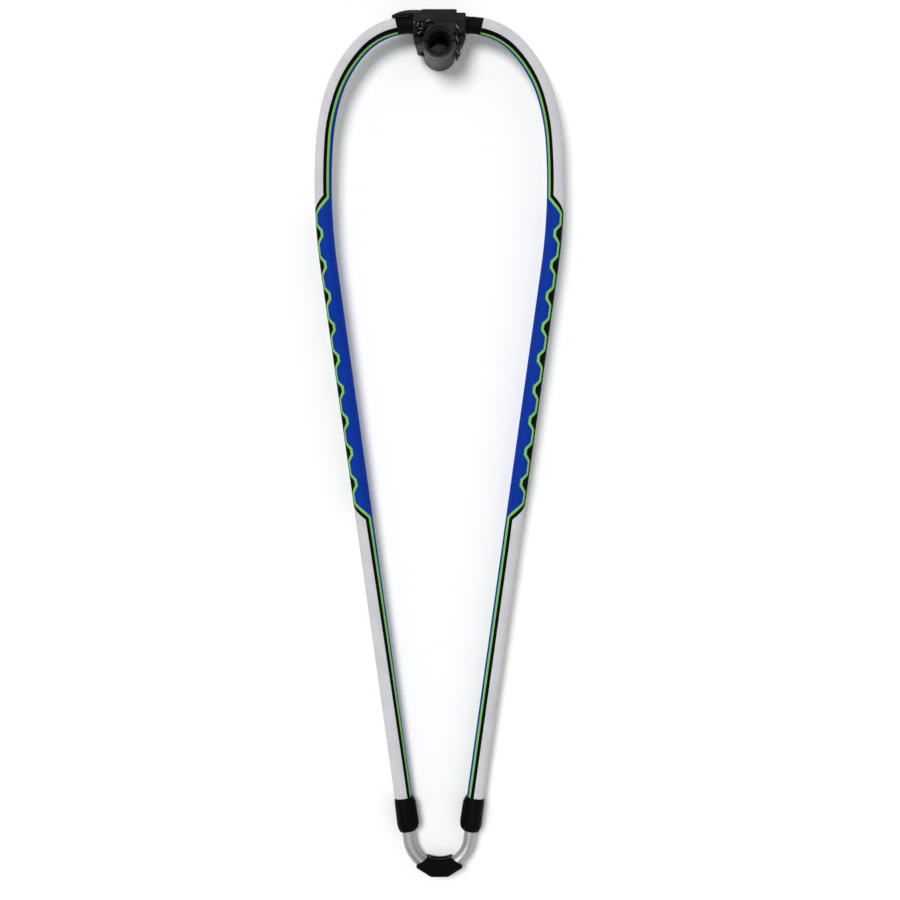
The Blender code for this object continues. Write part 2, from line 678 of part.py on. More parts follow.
flange_outline = rounded([
    (flange_left, CAP_FRONT - THROUGH, 0), (flange_left + FLANGE_SLANT, flange_front, 0.003),
    (flange_right, flange_front, 0.001), (flange_right, CAP_FRONT - THROUGH, 0),
])
flanges = [
    plate("upper_flange", flange_outline, flange_low, flange_high),
    plate("lower_flange", flange_outline, -flange_high, -flange_low),
]
lever_hole = rod("lever_hole", (LEVER_PIVOT_X, LEVER_PIVOT_Y, -flange_high - THROUGH),
                 (LEVER_PIVOT_X, LEVER_PIVOT_Y, flange_high + THROUGH), LEVER_PIN_RADIUS + GAP)
join(head_cap, *flanges)
cut(head_cap, tube_seat, lever_hole, *screw_holes, *screw_recesses, line_bed)
add(head_cap, "head", frame_body)

# Head screws: four steel cap screws driven from the front, past the tube into the body
for number, (x, z) in enumerate(screw_places, 1):
    screw = rod(f"head_screw_{number}", (x, screw_seat, z), (x, screw_seat + HEAD_SCREW_HEAD, z),
                HEAD_SCREW_HEAD_RADIUS, 12)
    shank = rod("screw_shank", (x, screw_end, z), (x, screw_seat + HEAD_SCREW_HEAD / 2, z),
                HEAD_SCREW_RADIUS, 8)
    socket = rod("screw_socket", (x, screw_seat + HEAD_SCREW_HEAD / 2, z), (x, CAP_FRONT + THROUGH, z),
                 HEAD_SCREW_RADIUS * 0.8, 6)
    join(screw, shank)
    cut(screw, socket)
    add(screw, "steel", frame_body)

# Mast pads: thick rubber liners, flared at both ends so that the boom can tilt on the mast
pad_flare = []
for step in range(PAD_FLARE_STEPS + 1):
    angle = math.pi / 2 * step / PAD_FLARE_STEPS
    pad_flare.append((
        MAST_FLARE / 2 - (MAST_FLARE - MAST_BORE) / 2 * math.sin(angle),
        PAD_HALF_HEIGHT - PAD_FLARE_HEIGHT * (1 - math.cos(angle)),
    ))
pad_profile = [(PAD_OUTER, PAD_HALF_HEIGHT), (PAD_OUTER, -PAD_HALF_HEIGHT)]
pad_profile += [(radius, -height) for radius, height in pad_flare] + pad_flare[::-1]
for name, body, side in (("saddle_pad", frame_body, -1), ("jaw_pad", jaw_body, 1)):
    pad = turned(name, pad_profile, MAST_SEGMENTS)
    reach = PAD_OUTER + PAD_RIM
    faces = sorted((-side * 2 * GAP, side * reach))
    other_half = block("other_half", (-reach, faces[0], -SADDLE_HALF_HEIGHT),
                       (reach, faces[1], SADDLE_HALF_HEIGHT))
    add(cut(pad, other_half), "rubber", body)

# Pins of the lever and of the jaw
add(rod("lever_pin", (LEVER_PIVOT_X, LEVER_PIVOT_Y, -flange_high),
        (LEVER_PIVOT_X, LEVER_PIVOT_Y, flange_high), LEVER_PIN_RADIUS), "steel", frame_body)
add(rod("jaw_pin", (HINGE_X, HINGE_Y, -jaw_pin_half), (HINGE_X, HINGE_Y, jaw_pin_half),
        HINGE_PIN_RADIUS), "steel", frame_body)

# Clamp lever: a bar across the front of the cap, with its tip curved back to make a finger hold
lever_rear = CAP_FRONT + RUNNING
lever_front = lever_rear + LEVER_THICKNESS
lever_middle = lever_rear + LEVER_THICKNESS / 2
lever_sweep = math.asin((LEVER_CURL_X - LEVER_TIP_X) / LEVER_CURL)
front_side = []
rear_side = []
for step in range(LEVER_STEPS + 1):
    angle = lever_sweep * step / LEVER_STEPS
    drop = LEVER_CURL * (1 - math.cos(angle))
    middle = Vector((LEVER_CURL_X - LEVER_CURL * math.sin(angle), lever_middle - drop))
    half = LEVER_THICKNESS / 2 - (LEVER_THICKNESS / 2 - LEVER_TIP_RADIUS) * step / LEVER_STEPS
    outward = Vector((-math.sin(angle), math.cos(angle)))
    front_side.append(tuple(middle + half * outward))
    rear_side.append(tuple(middle - half * outward))
tip_turn = math.degrees(lever_sweep)
tip = arc(middle, LEVER_TIP_RADIUS, 90 + tip_turn, 270 + tip_turn, 4)
lever_barrel = arc((LEVER_PIVOT_X, LEVER_PIVOT_Y), LEVER_BARREL, -90, 90, 10)
lever_outline = [
    *lever_barrel, (LEVER_PIVOT_X - LEVER_NECK, lever_front), *front_side, *tip[1:-1],
    *reversed(rear_side), (LEVER_PIVOT_X - LEVER_NECK, lever_rear),
]
clamp_lever = plate("clamp_lever", lever_outline, -LEVER_HALF_HEIGHT, LEVER_HALF_HEIGHT, LEVER_EDGE,
                    lambda middle: middle.x < LEVER_PIVOT_X - LEVER_NECK - LEVER_EDGE)
recess_half = LEVER_HALF_HEIGHT - LEVER_RECESS_WALL
finger_recess = block("finger_recess", (LEVER_CURL_X + LEVER_NECK, lever_rear - THROUGH, -recess_half),
                      (LEVER_PIVOT_X - 2 * LEVER_NECK, lever_rear + LEVER_RECESS_DEPTH, recess_half))
cut(clamp_lever, lever_hole, finger_recess)
add(clamp_lever, "lever", lever_body)

# Mast jaw: the rear half of the clamp, hinged on the left and drawn shut on the right
end_angle = math.degrees(math.asin(GAP / SEAT_RADIUS))
jaw_ring = (
    arc((0, 0), JAW_RADIUS, 180 + end_angle, 360 - end_angle, MAST_SEGMENTS // 2)
    + arc((0, 0), SEAT_RADIUS, 360 - end_angle, 180 + end_angle, MAST_SEGMENTS // 2)
)
mast_jaw = plate("mast_jaw", jaw_ring, -JAW_HALF_HEIGHT, JAW_HALF_HEIGHT, 0.0010)
ring_middle = (SEAT_RADIUS + JAW_RADIUS) / 2
lug_root = arc((0, 0), ring_middle, 207.5, 207.5, 1)[0]
lug_top = HINGE_Y + HINGE_BARREL / 3
lug_outline = [
    *arc((HINGE_X, HINGE_Y), HINGE_BARREL, 45, 270, 12),
    lug_root, (-ring_middle, lug_top), (-SADDLE_RADIUS - GAP, lug_top),
]
lugs = [
    plate("upper_lug", lug_outline, lug_low, jaw_pin_half),
    plate("lower_lug", lug_outline, -jaw_pin_half, -lug_low),
]
ear_half = LINE_Z + EAR_HEIGHT_PAST
ear_root = SEAT_RADIUS - THROUGH
ear_flare = ear_half + EAR_MARGIN
ear = plate("line_ear", rounded([
    (ear_root, -ear_flare, 0), (EAR_X, -ear_half, 0.006), (EAR_X, ear_half, 0.006), (ear_root, ear_flare, 0),
]), -EAR_FRONT, -EAR_REAR)
ear.data.transform(Matrix.Rotation(math.pi / 2, 4, "X"))
ear_holes = [
    rod("ear_hole", (LINE_X, EAR_REAR - THROUGH, z), (LINE_X, EAR_FRONT + THROUGH, z),
        LINE_DIAMETER / 2 + RUNNING, 12)
    for z in (LINE_Z, -LINE_Z)
]
join(mast_jaw, *lugs, ear)
cut(mast_jaw, mast_seat, hinge_hole, *ear_holes)
add(mast_jaw, "jaw", jaw_body)

# Clamp line: along its bed on top of the head, through the ear, down behind it and back below
add(sweep("clamp_line", line_route, LINE_DIAMETER / 2, 8), "line", frame_body)

# Knot: the spare end of the line, tied off on top of the head's left shoulder
knot_turn = math.pi / 3
knot_opening = 0.30
knot_diameter = LINE_DIAMETER * KNOT_SQUEEZE
knot_points = []
for step in range(61):
    angle = knot_turn + knot_opening + (2 * math.pi - 2 * knot_opening) * step / 60
    knot_points.append(Vector((
        KNOT_CENTRE[0] + KNOT_RADIUS / 3 * (math.sin(angle) + 2 * math.sin(2 * angle)),
        KNOT_CENTRE[1] + KNOT_RADIUS / 3 * (math.cos(angle) - 2 * math.cos(2 * angle)),
        HEAD_HALF_HEIGHT + GAP + knot_diameter / 2 + KNOT_LIFT * (1 - math.sin(3 * angle)),
    )))
least_gap = min(
    (first - second).length - knot_diameter
    for index, first in enumerate(knot_points) for second in knot_points[index + 8:]
)
print(f"least gap between the knot's strands: {least_gap * 1000:.2f} mm")
add(sweep("line_knot", knot_points, knot_diameter / 2, 6), "line", frame_body)

# Collars: moulded sleeves on the ends of the arms, with a boss that holds the lock clip
collar_outer = TUBE_BORE + COLLAR_WALL
lip_radius = collar_outer - COLLAR_LIP_STEP
collar_right = turned("collar_right", [
    (LEG_BORE + 0.0016, COLLAR_LENGTH), (LEG_BORE, COLLAR_LENGTH - 0.0006), (LEG_BORE, COLLAR_SEAT),
    (TUBE_BORE, COLLAR_SEAT), (TUBE_BORE, 0), (lip_radius - 0.0006, 0), (lip_radius, 0.0006),
    (lip_radius, COLLAR_LIP), (collar_outer, COLLAR_LIP + COLLAR_LIP_STEP),
    (collar_outer + COLLAR_SWELL, COLLAR_LENGTH - 0.014), (collar_outer + 0.0002, COLLAR_LENGTH - 0.008),
    (collar_outer - 0.0015, COLLAR_LENGTH - 0.003), (LEG_BORE + 0.0028, COLLAR_LENGTH),
], COLLAR_SIDES)
boss_root = TUBE_BORE + RUNNING
boss_outline = rounded([
    (boss_root, GAP, 0), (BOSS_REACH - 0.0042, GAP, 0.001), (BOSS_REACH - 0.0006, 0.0095, 0.004),
    (BOSS_REACH, CLIP_END - 0.004, 0.008), (BOSS_REACH - 0.0030, CLIP_END + 0.0045, 0.003),
    (boss_root, CLIP_END + 0.006, 0),
])
along_arm = Matrix.Rotation(math.pi / 2, 4, "X")
boss = plate("collar_boss", boss_outline, -BOSS_HALF_WIDTH, BOSS_HALF_WIDTH, BOSS_EDGE,
             lambda middle: middle.x > boss_root + BOSS_EDGE)
boss.data.transform(along_arm)
pocket_half = CLIP_HALF_WIDTH + COLLAR_FIT
pocket = block("clip_pocket", (POCKET_FLOOR, -pocket_half, CLIP_HINGE[1] - CLIP_BARREL - RUNNING),
               (BOSS_REACH + THROUGH, pocket_half, CLIP_END + RUNNING))
hole_half = BOSS_HALF_WIDTH + THROUGH
clip_hole = rod("clip_hole", (CLIP_HINGE[0], -hole_half, CLIP_HINGE[1]),
                (CLIP_HINGE[0], hole_half, CLIP_HINGE[1]), CLIP_PIN_RADIUS + GAP, 10)
collar_lock_hole = rod("collar_lock_hole", (LEG_RADIUS, 0, LOCK_PIN_Z), (BOSS_REACH, 0, LOCK_PIN_Z),
                       tube_hole_radius + GAP, 12)
join(collar_right, boss)
cut(collar_right, pocket, clip_hole, collar_lock_hole)
for tool in (boss, pocket, clip_hole, collar_lock_hole):
    place(tool, collar_frame)
add(place(collar_right, collar_frame), "collar", frame_body)
twin(collar_right, "collar_left", "collar", frame_body)
clip_pin_half = BOSS_HALF_WIDTH - GAP
clip_pin_right = rod("clip_pin_right", (CLIP_HINGE[0], -clip_pin_half, CLIP_HINGE[1]),
                     (CLIP_HINGE[0], clip_pin_half, CLIP_HINGE[1]), CLIP_PIN_RADIUS, 10)
add(place(clip_pin_right, collar_frame), "steel", frame_body)
twin(clip_pin_right, "clip_pin_left", "steel", frame_body)

# Lock clips: levers in the collars' pockets, each with a steel pin that drops into the leg
clip_inner = POCKET_FLOOR + 0.0005
clip_barrel = arc(CLIP_HINGE, CLIP_BARREL, 180, 330, 10)
lock_clip_right = plate("lock_clip_right", clip_barrel[1:-1] + rounded([
    (*clip_barrel[-1], 0), (BOSS_REACH - 0.0006, CLIP_HINGE[1] + 0.004, 0.004),
    (BOSS_REACH, CLIP_END - 0.006, 0.008), (BOSS_REACH - 0.0008, CLIP_END, 0.0012),
    (clip_inner, CLIP_END, 0.0005), (clip_inner, CLIP_HINGE[1] + 0.0030, 0.0005), (*clip_barrel[0], 0),
], 3), -CLIP_HALF_WIDTH, CLIP_HALF_WIDTH)
lock_clip_right.data.transform(along_arm)
pin_head_end = BOSS_REACH - LOCK_PIN_COVER
pin_socket = rod("pin_socket", (LEG_RADIUS, 0, LOCK_PIN_Z), (pin_head_end + GAP, 0, LOCK_PIN_Z),
                 LOCK_PIN_RADIUS + GAP, 12)
place(pin_socket, collar_frame)
cut(lock_clip_right, clip_hole, pin_socket)
add(place(lock_clip_right, collar_frame), "clip", clip_right_body)
twin(lock_clip_right, "lock_clip_left", "clip", clip_left_body)
lock_pin_right = rod("lock_pin_right", (LEG_RADIUS - LOCK_PIN_ENTRY, 0, LOCK_PIN_Z),
                     (pin_head_end, 0, LOCK_PIN_Z), LOCK_PIN_RADIUS, 12)
add(place(lock_pin_right, collar_frame), "steel", clip_right_body)
twin(lock_pin_right, "lock_pin_left", "steel", clip_left_body)

# Tail legs: straight tubes that slide in the arms, with a row of lock holes on their inner side
leg_points = [arm_place(LEG_END - LEG_REACH)[0], arm_place(LEG_END)[0]]
tail_leg_right = hollow("tail_leg_right", leg_points, LEG_RADIUS, LEG_WALL)
leg_holes = []
for number in range(LOCK_COUNT):
    hole_z = LOCK_PIN_Z - LOCK_PITCH * number
    hole = rod("leg_hole", (LEG_RADIUS - LEG_WALL - THROUGH, 0, hole_z),
               (LEG_RADIUS + THROUGH, 0, hole_z), LOCK_PIN_RADIUS + RUNNING, 6)
    leg_holes.append(place(hole, collar_frame))
cut(tail_leg_right, *leg_holes)
add(tail_leg_right, "alloy", tail_body)
twin(tail_leg_right, "tail_leg_left", "alloy", tail_body)

# Tail tubes: bent ends that carry on from the legs into the tail block
bend_end = math.asin(TAIL_TUBE_END_X / BEND_RADIUS)
bend_start = math.pi / 2 - CONVERGENCE
tail_arc = []
for step in range(TAIL_STEPS + 1):
    angle = bend_start + (bend_end - bend_start) * step / TAIL_STEPS
    tail_arc.append(Vector((BEND_RADIUS * math.sin(angle), BEND_Y - BEND_RADIUS * math.cos(angle), 0)))
tail_route = [arm_place(LEG_END + GAP)[0], *tail_arc]
tail_tube_right = hollow("tail_tube_right", tail_route, LEG_RADIUS, LEG_WALL)
add(tail_tube_right, "alloy", tail_body)
twin(tail_tube_right, "tail_tube_left", "alloy", tail_body)

# Tail block: two moulded shells that close on the tubes, with a slot for the sheaves
tail_inner = BEND_Y - BEND_RADIUS + LEG_RADIUS + TAIL_WALL
tail_front = tail_inner + TAIL_INNER_DIP
tail_rear = BEND_Y - BEND_RADIUS - LEG_RADIUS - TAIL_REAR_WALL
tip_radius = BEND_RADIUS + LEG_RADIUS + TAIL_TIP_WALL
tip_x = tip_radius * math.sin(math.radians(TAIL_TIP_ANGLE))
tip_y = BEND_Y - tip_radius * math.cos(math.radians(TAIL_TIP_ANGLE))
tail_outline = rounded([
    (-TAIL_INNER_X, tail_front, 0), (-tip_x, tip_y, TAIL_FILLET),
    (-TAIL_REAR_HALF, tail_rear, TAIL_REAR_FILLET), (TAIL_REAR_HALF, tail_rear, TAIL_REAR_FILLET),
    (tip_x, tip_y, TAIL_FILLET), (TAIL_INNER_X, tail_front, 0),
], 3)
cove_radius = (TAIL_INNER_X ** 2 + TAIL_INNER_DIP ** 2) / (2 * TAIL_INNER_DIP)
cove_top = TAIL_HALF_HEIGHT + THROUGH
cove_low = TAIL_HALF_HEIGHT - TAIL_SLOPE
inner_cove = turned("inner_cove", [
    (cove_radius + TAIL_SLOPE + THROUGH, cove_top), (cove_radius, cove_low), (cove_radius, -cove_low),
    (cove_radius + TAIL_SLOPE + THROUGH, -cove_top),
    (cove_radius / 2, -cove_top), (cove_radius / 2, cove_top),
], COVE_STEPS)
inner_cove.location = (0, tail_inner + cove_radius, 0)
stop = tail_arc[-1] + (tail_arc[-1] - tail_arc[-2]).normalized() * GAP
channel_right = sweep("tube_channel_right", [*tail_route, stop], LEG_RADIUS + GAP)
channel_left = sweep("tube_channel_left", [Vector((-p.x, p.y, p.z)) for p in [*tail_route, stop]],
                     LEG_RADIUS + GAP)
slot_high = SHEAVE_HALF_WIDTH + GAP
sheave_slot = block("sheave_slot", (-SLOT_HALF, SHEAVE_Y - SHEAVE_RADIUS - RUNNING, -slot_high),
                    (SLOT_HALF, tail_front + THROUGH, slot_high))
sheave_holes = [
    rod("sheave_hole", (x, SHEAVE_Y, -SHEAVE_PIN_HALF - GAP), (x, SHEAVE_Y, SHEAVE_PIN_HALF + GAP),
        SHEAVE_PIN_RADIUS + GAP, 12)
    for x in (-SHEAVE_X, SHEAVE_X)
]
tail_screw_y = (SHEAVE_Y - SHEAVE_RADIUS + tail_rear) / 2
screw_low = -TAIL_HALF_HEIGHT + TAIL_SCREW_HEAD + GAP
below = -TAIL_HALF_HEIGHT - THROUGH
tail_screw_holes = []
tail_screw_recesses = []
for x in (-TAIL_SCREW_X, TAIL_SCREW_X):
    tail_screw_holes.append(rod("tail_screw_hole", (x, tail_screw_y, below),
                                (x, tail_screw_y, TAIL_SCREW_TOP + GAP), TAIL_SCREW_RADIUS + GAP, 8))
    tail_screw_recesses.append(rod("tail_screw_recess", (x, tail_screw_y, below),
                                   (x, tail_screw_y, screw_low + GAP), TAIL_SCREW_HEAD_RADIUS + GAP, 12))
tail_block_upper = plate("tail_block_upper", tail_outline, GAP / 2, TAIL_HALF_HEIGHT, TAIL_EDGE,
                         lambda middle: middle.z > TAIL_HALF_HEIGHT / 2)
cut(tail_block_upper, inner_cove, channel_right, channel_left, sheave_slot, *sheave_holes, *tail_screw_holes)
add(tail_block_upper, "collar", tail_body)
tail_block_lower = plate("tail_block_lower", tail_outline, -TAIL_HALF_HEIGHT, -GAP / 2, TAIL_EDGE,
                         lambda middle: middle.z < -TAIL_HALF_HEIGHT / 2)
cut(tail_block_lower, inner_cove, channel_right, channel_left, sheave_slot, *sheave_holes, *tail_screw_holes,
    *tail_screw_recesses)
add(tail_block_lower, "collar", tail_body)

# Tail screws and sheaves: the screws come from below, and the outhaul line runs over the sheaves
for x, side in ((-TAIL_SCREW_X, "left"), (TAIL_SCREW_X, "right")):
    screw = rod(f"tail_screw_{side}", (x, tail_screw_y, screw_low - TAIL_SCREW_HEAD),
                (x, tail_screw_y, screw_low), TAIL_SCREW_HEAD_RADIUS, 12)
    shank = rod("tail_screw_shank", (x, tail_screw_y, screw_low - TAIL_SCREW_HEAD / 2),
                (x, tail_screw_y, TAIL_SCREW_TOP), TAIL_SCREW_RADIUS, 8)
    socket = rod("tail_screw_socket", (x, tail_screw_y, below),
                 (x, tail_screw_y, screw_low - TAIL_SCREW_HEAD / 2), TAIL_SCREW_RADIUS * 0.8, 6)
    join(screw, shank)
    cut(screw, socket)
    add(screw, "steel", tail_body)
for x, side, body in ((-SHEAVE_X, "left", sheave_left_body), (SHEAVE_X, "right", sheave_right_body)):
    add(rod(f"sheave_pin_{side}", (x, SHEAVE_Y, -SHEAVE_PIN_HALF), (x, SHEAVE_Y, SHEAVE_PIN_HALF),
            SHEAVE_PIN_RADIUS, 12), "steel", tail_body)
    sheave = turned(f"sheave_{side}", [
        (SHEAVE_RADIUS, SHEAVE_HALF_WIDTH), (SHEAVE_RADIUS, SHEAVE_HALF_WIDTH - 0.0008),
        (SHEAVE_RADIUS - SHEAVE_GROOVE, 0.0010), (SHEAVE_RADIUS - SHEAVE_GROOVE, -0.0010),
        (SHEAVE_RADIUS, -SHEAVE_HALF_WIDTH + 0.0008), (SHEAVE_RADIUS, -SHEAVE_HALF_WIDTH),
        (SHEAVE_PIN_RADIUS + GAP, -SHEAVE_HALF_WIDTH), (SHEAVE_PIN_RADIUS + GAP, SHEAVE_HALF_WIDTH),
    ], 16)
    sheave.location = (x, SHEAVE_Y, 0)
    add(sheave, "sheave", body)
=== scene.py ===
"""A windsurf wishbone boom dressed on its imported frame: printed grips, moulded head and bright tail."""

import math

import bmesh
import bpy
from mathutils import Matrix, Vector


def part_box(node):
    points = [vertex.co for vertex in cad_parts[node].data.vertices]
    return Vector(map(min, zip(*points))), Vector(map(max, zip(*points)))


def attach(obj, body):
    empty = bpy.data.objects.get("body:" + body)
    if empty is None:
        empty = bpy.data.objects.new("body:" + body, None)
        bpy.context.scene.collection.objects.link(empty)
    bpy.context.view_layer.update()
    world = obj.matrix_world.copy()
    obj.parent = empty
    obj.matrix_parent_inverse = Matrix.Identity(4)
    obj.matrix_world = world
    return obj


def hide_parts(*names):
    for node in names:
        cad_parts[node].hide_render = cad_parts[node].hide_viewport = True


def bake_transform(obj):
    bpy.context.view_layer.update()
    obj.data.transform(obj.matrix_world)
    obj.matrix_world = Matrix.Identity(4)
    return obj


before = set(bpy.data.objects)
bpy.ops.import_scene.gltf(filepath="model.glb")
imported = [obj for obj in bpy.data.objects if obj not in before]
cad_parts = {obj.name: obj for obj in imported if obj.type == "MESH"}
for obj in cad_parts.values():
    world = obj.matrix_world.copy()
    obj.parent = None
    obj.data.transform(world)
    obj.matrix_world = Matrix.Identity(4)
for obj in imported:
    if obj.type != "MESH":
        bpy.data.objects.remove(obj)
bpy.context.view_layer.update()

# Camera
# The photograph looks straight down from about 2.4 m, square to the tubes, with the mast hole
# near the top of the picture. Its 900 pixels span 1.62 m in the plane of the tubes.
camera_height = 2.40
picture_span = 1.62
picture_centre = Vector((0.0191, -0.7231, 0))
camera_data = bpy.data.cameras.new("camera")
camera_data.sensor_width = 36
camera_data.lens = camera_data.sensor_width * camera_height / picture_span
camera_data.clip_end = 60
camera = bpy.data.objects.new("camera", camera_data)
camera.location = picture_centre + Vector((0, 0, camera_height))
bpy.context.scene.collection.objects.link(camera)
bpy.context.scene.camera = camera
bpy.context.scene.view_settings.view_transform = "Standard"


# Floor and light
# A white studio sweep with a soft lamp nearly overhead, a little to the upper left, and a broad weak
# one at the right. The boom lies on its saddle and its collars, so the floor rises a little to the tail.
def add_node(tree, kind, settings=None, inputs=None):
    """A shader node with its settings, each named input set to a value or joined to a socket."""
    made = tree.nodes.new(kind)
    for name, value in (settings or {}).items():
        setattr(made, name, value)
    for name, value in (inputs or {}).items():
        if isinstance(value, bpy.types.NodeSocket):
            tree.links.new(value, made.inputs[name])
        else:
            made.inputs[name].default_value = value
    return made


def maths(tree, operation, *values):
    """One sum on numbers or sockets, as a socket."""
    made = add_node(tree, "ShaderNodeMath", {"operation": operation}, dict(enumerate(values)))
    return made.outputs[0]


saddle_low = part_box("head_body")[0].z
collar_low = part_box("collar_left")[0]
collar_foot = 0.014
collar_rest_y = collar_low.y + collar_foot
floor_slope = (collar_low.z - saddle_low) / -collar_rest_y
floor_clearance = 0.0002
floor_half = 9.0
floor_parts = 4
paper_white = (0.97, 0.97, 0.97, 1)
shape = bmesh.new()
bmesh.ops.create_grid(shape, x_segments=floor_parts, y_segments=floor_parts, size=floor_half)
for vert in shape.verts:
    vert.co.z = saddle_low - floor_clearance - floor_slope * vert.co.y
floor_mesh = bpy.data.meshes.new("floor")
shape.to_mesh(floor_mesh)
shape.free()
floor = bpy.data.objects.new("floor", floor_mesh)
bpy.context.scene.collection.objects.link(floor)
paper = bpy.data.materials.new("white_sweep")
paper.use_nodes = True
tree = paper.node_tree
tree.nodes.remove(tree.nodes["Principled BSDF"])
matt = add_node(tree, "ShaderNodeBsdfDiffuse", None, {"Color": paper_white})
tree.links.new(matt.outputs[0], tree.nodes["Material Output"].inputs["Surface"])
floor_mesh.materials.append(paper)

ceiling_level = 0.12
horizon_level = 1.05
glow_power = 2.0
world = bpy.data.worlds.new("studio")
bpy.context.scene.world = world
world.use_nodes = True
tree = world.node_tree
sky = tree.nodes["Background"]
sky.inputs["Color"].default_value = (1.0, 1.0, 1.0, 1)
direction = add_node(tree, "ShaderNodeTexCoord").outputs["Generated"]
height = add_node(tree, "ShaderNodeSeparateXYZ", None, {0: direction}).outputs["Z"]
lowness = maths(tree, "SUBTRACT", 1.0, maths(tree, "MAXIMUM", height, 0.0))
falloff = maths(tree, "POWER", lowness, glow_power)
glow = maths(tree, "MULTIPLY_ADD", falloff, horizon_level - ceiling_level, ceiling_level)
tree.links.new(glow, sky.inputs["Strength"])


def soft_lamp(name, stands_at, spread, level):
    """A far soft lamp: where it stands, how many degrees it spans, how bright it makes white paper."""
    towards = Vector(stands_at).normalized()
    data = bpy.data.lights.new(name, "SUN")
    data.angle = math.radians(spread)
    data.energy = level * math.pi / towards.z
    made = bpy.data.objects.new(name, data)
    made.rotation_euler = towards.to_track_quat("Z", "Y").to_euler()
    bpy.context.scene.collection.objects.link(made)


soft_lamp("key_lamp", stands_at=(-0.33, 0.28, 1.0), spread=26, level=0.64)
soft_lamp("fill_lamp", stands_at=(0.70, -0.45, 1.0), spread=80, level=0.16)


# Main tube
# One drawn alloy tube bent into both arms. It hides in the head, the grips and the collars, and only
# its bore shows where a leg slides out.
def shader_of(name):
    """A new material with its node tree and its main shader."""
    material = bpy.data.materials.new(name)
    material.use_nodes = True
    return material, material.node_tree, material.node_tree.nodes["Principled BSDF"]


def place_on(tree):
    """A place in the piece's own metres, as a socket."""
    return add_node(tree, "ShaderNodeTexCoord").outputs["Object"]


def wrap_of(tree):
    """A place on a swept piece, as a socket: its direction from the centreline, and how far along."""
    return add_node(tree, "ShaderNodeAttribute", {"attribute_name": "wrap"}).outputs["Vector"]


def mottle(tree, place, scale, detail, roughness=0.5):
    """Noise of one scale and fineness, as a socket."""
    made = add_node(tree, "ShaderNodeTexNoise", None,
                    {"Vector": place, "Scale": scale, "Detail": detail, "Roughness": roughness})
    return made.outputs[0]


def ranged(tree, value, start, end, first=0.0, last=1.0):
    """A value led from one span to another and held inside it, as a socket."""
    made = add_node(tree, "ShaderNodeMapRange", None, {
        "Value": value, "From Min": start, "From Max": end, "To Min": first, "To Max": last})
    return made.outputs[0]


def toned(tree, colour, tone):
    """A colour multiplied by a tone, as a socket."""
    made = add_node(tree, "ShaderNodeMix", {"data_type": "RGBA", "blend_type": "MULTIPLY"},
                    {0: 1.0, 6: colour, 7: tone})
    return made.outputs[2]


def grained(tree, shader, height, strength, depth, sunk=False):
    """Give a finish the fine relief of a height."""
    bump = add_node(tree, "ShaderNodeBump", {"invert": sunk},
                    {"Height": height, "Strength": strength, "Distance": depth})
    tree.links.new(bump.outputs[0], shader.inputs["Normal"])


def drawn_alloy(name, colour, roughness):
    """Drawn and brushed alloy: fine streaks along the tube and faint smudges."""
    material, tree, shader = shader_of(name)
    stretch = add_node(tree, "ShaderNodeMapping", None, {"Vector": wrap_of(tree), "Scale": (9, 9, 4)})
    streaks = mottle(tree, stretch.outputs[0], scale=7, detail=6, roughness=0.7)
    smudges = mottle(tree, place_on(tree), scale=38, detail=3)
    tone = ranged(tree, streaks, 0.3, 0.7, first=0.86, last=1.0)
    tree.links.new(toned(tree, (*colour, 1), tone), shader.inputs["Base Color"])
    gloss = ranged(tree, smudges, 0.35, 0.7, first=roughness * 0.8, last=roughness * 1.35)
    tree.links.new(gloss, shader.inputs["Roughness"])
    grained(tree, shader, streaks, strength=0.06, depth=0.0004)
    shader.inputs["Metallic"].default_value = 1.0
    return material


arm_alloy = drawn_alloy("arm_alloy", colour=(0.16, 0.16, 0.17), roughness=0.40)
main_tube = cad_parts["main_tube"]
main_tube.data.materials.clear()
main_tube.data.materials.append(arm_alloy)

# Grips
# Closed-cell foam sleeves glued on the arms, printed before they are fitted. White on the outside
# of the boom, then a black and a green line, and blue inside, with a notched blue panel for the hands.
both_sides = ((-1, "left"), (1, "right"))
front_y = (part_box("head_cap")[0].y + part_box("head_body")[1].y) / 2
front_half = 0.051
arm_bends = ((0.124, 48.0), (0.228, 26.0), (0.376, 12.0), (1.096, 12.0))
grip_straight = 0.962
bends_end = front_half + sum(radius * math.radians(sweep) for radius, sweep in arm_bends)
grip_end = bends_end + grip_straight
grip_radius = 0.0155
grip_inner = 0.0138
grip_lip = 0.0012
cuff_end = 0.077
parting = 0.0003
grip_start = cuff_end + parting
tube_sides = 48
bend_step = 0.008
straight_step = 0.024

# Degrees that each sleeve was turned as it was pulled on, by metres along its arm.
print_turn = {
    -1: ((0.077, 21), (0.120, 15), (0.170, 9), (0.240, 1), (0.310, -7), (0.420, -7), (0.500, -4),
         (0.950, -4), (1.070, 3), (1.220, 9), (1.470, 17), (1.540, 18)),
    1: ((0.077, 23), (0.120, 18), (0.170, 12), (0.240, 6), (0.420, 5), (0.500, 10), (0.700, 9),
        (0.950, 6), (1.070, 2), (1.540, 1)),
}

# The print's own millimetres: along the sleeve, and round it from the top of the tube.
millimetres_per_metre = 1000
panel_start = 441
panel_end = 992
panel_ramp = 29
panel_drop = 25.7
line_level = 11.9
first_notch = 506
notch_pitch = 56.3
notch_count = 9
notch_half = 16.8
notch_ramp = 11.5
notch_rise = 9.74
blue_line = (0.9, 2.4)
green_line = (-0.9, -2.4)
black_line = (-3.2, -8.8)
black_start = 467
black_end = 996
widening_end = 240
widening_length = 163
widening = 2.4
foam_white = (0.63, 0.63, 0.66, 1)
print_black = (0.003, 0.003, 0.003, 1)
print_green = (0.22, 0.56, 0.095, 1)
print_blue = (0.004, 0.036, 0.33, 1)


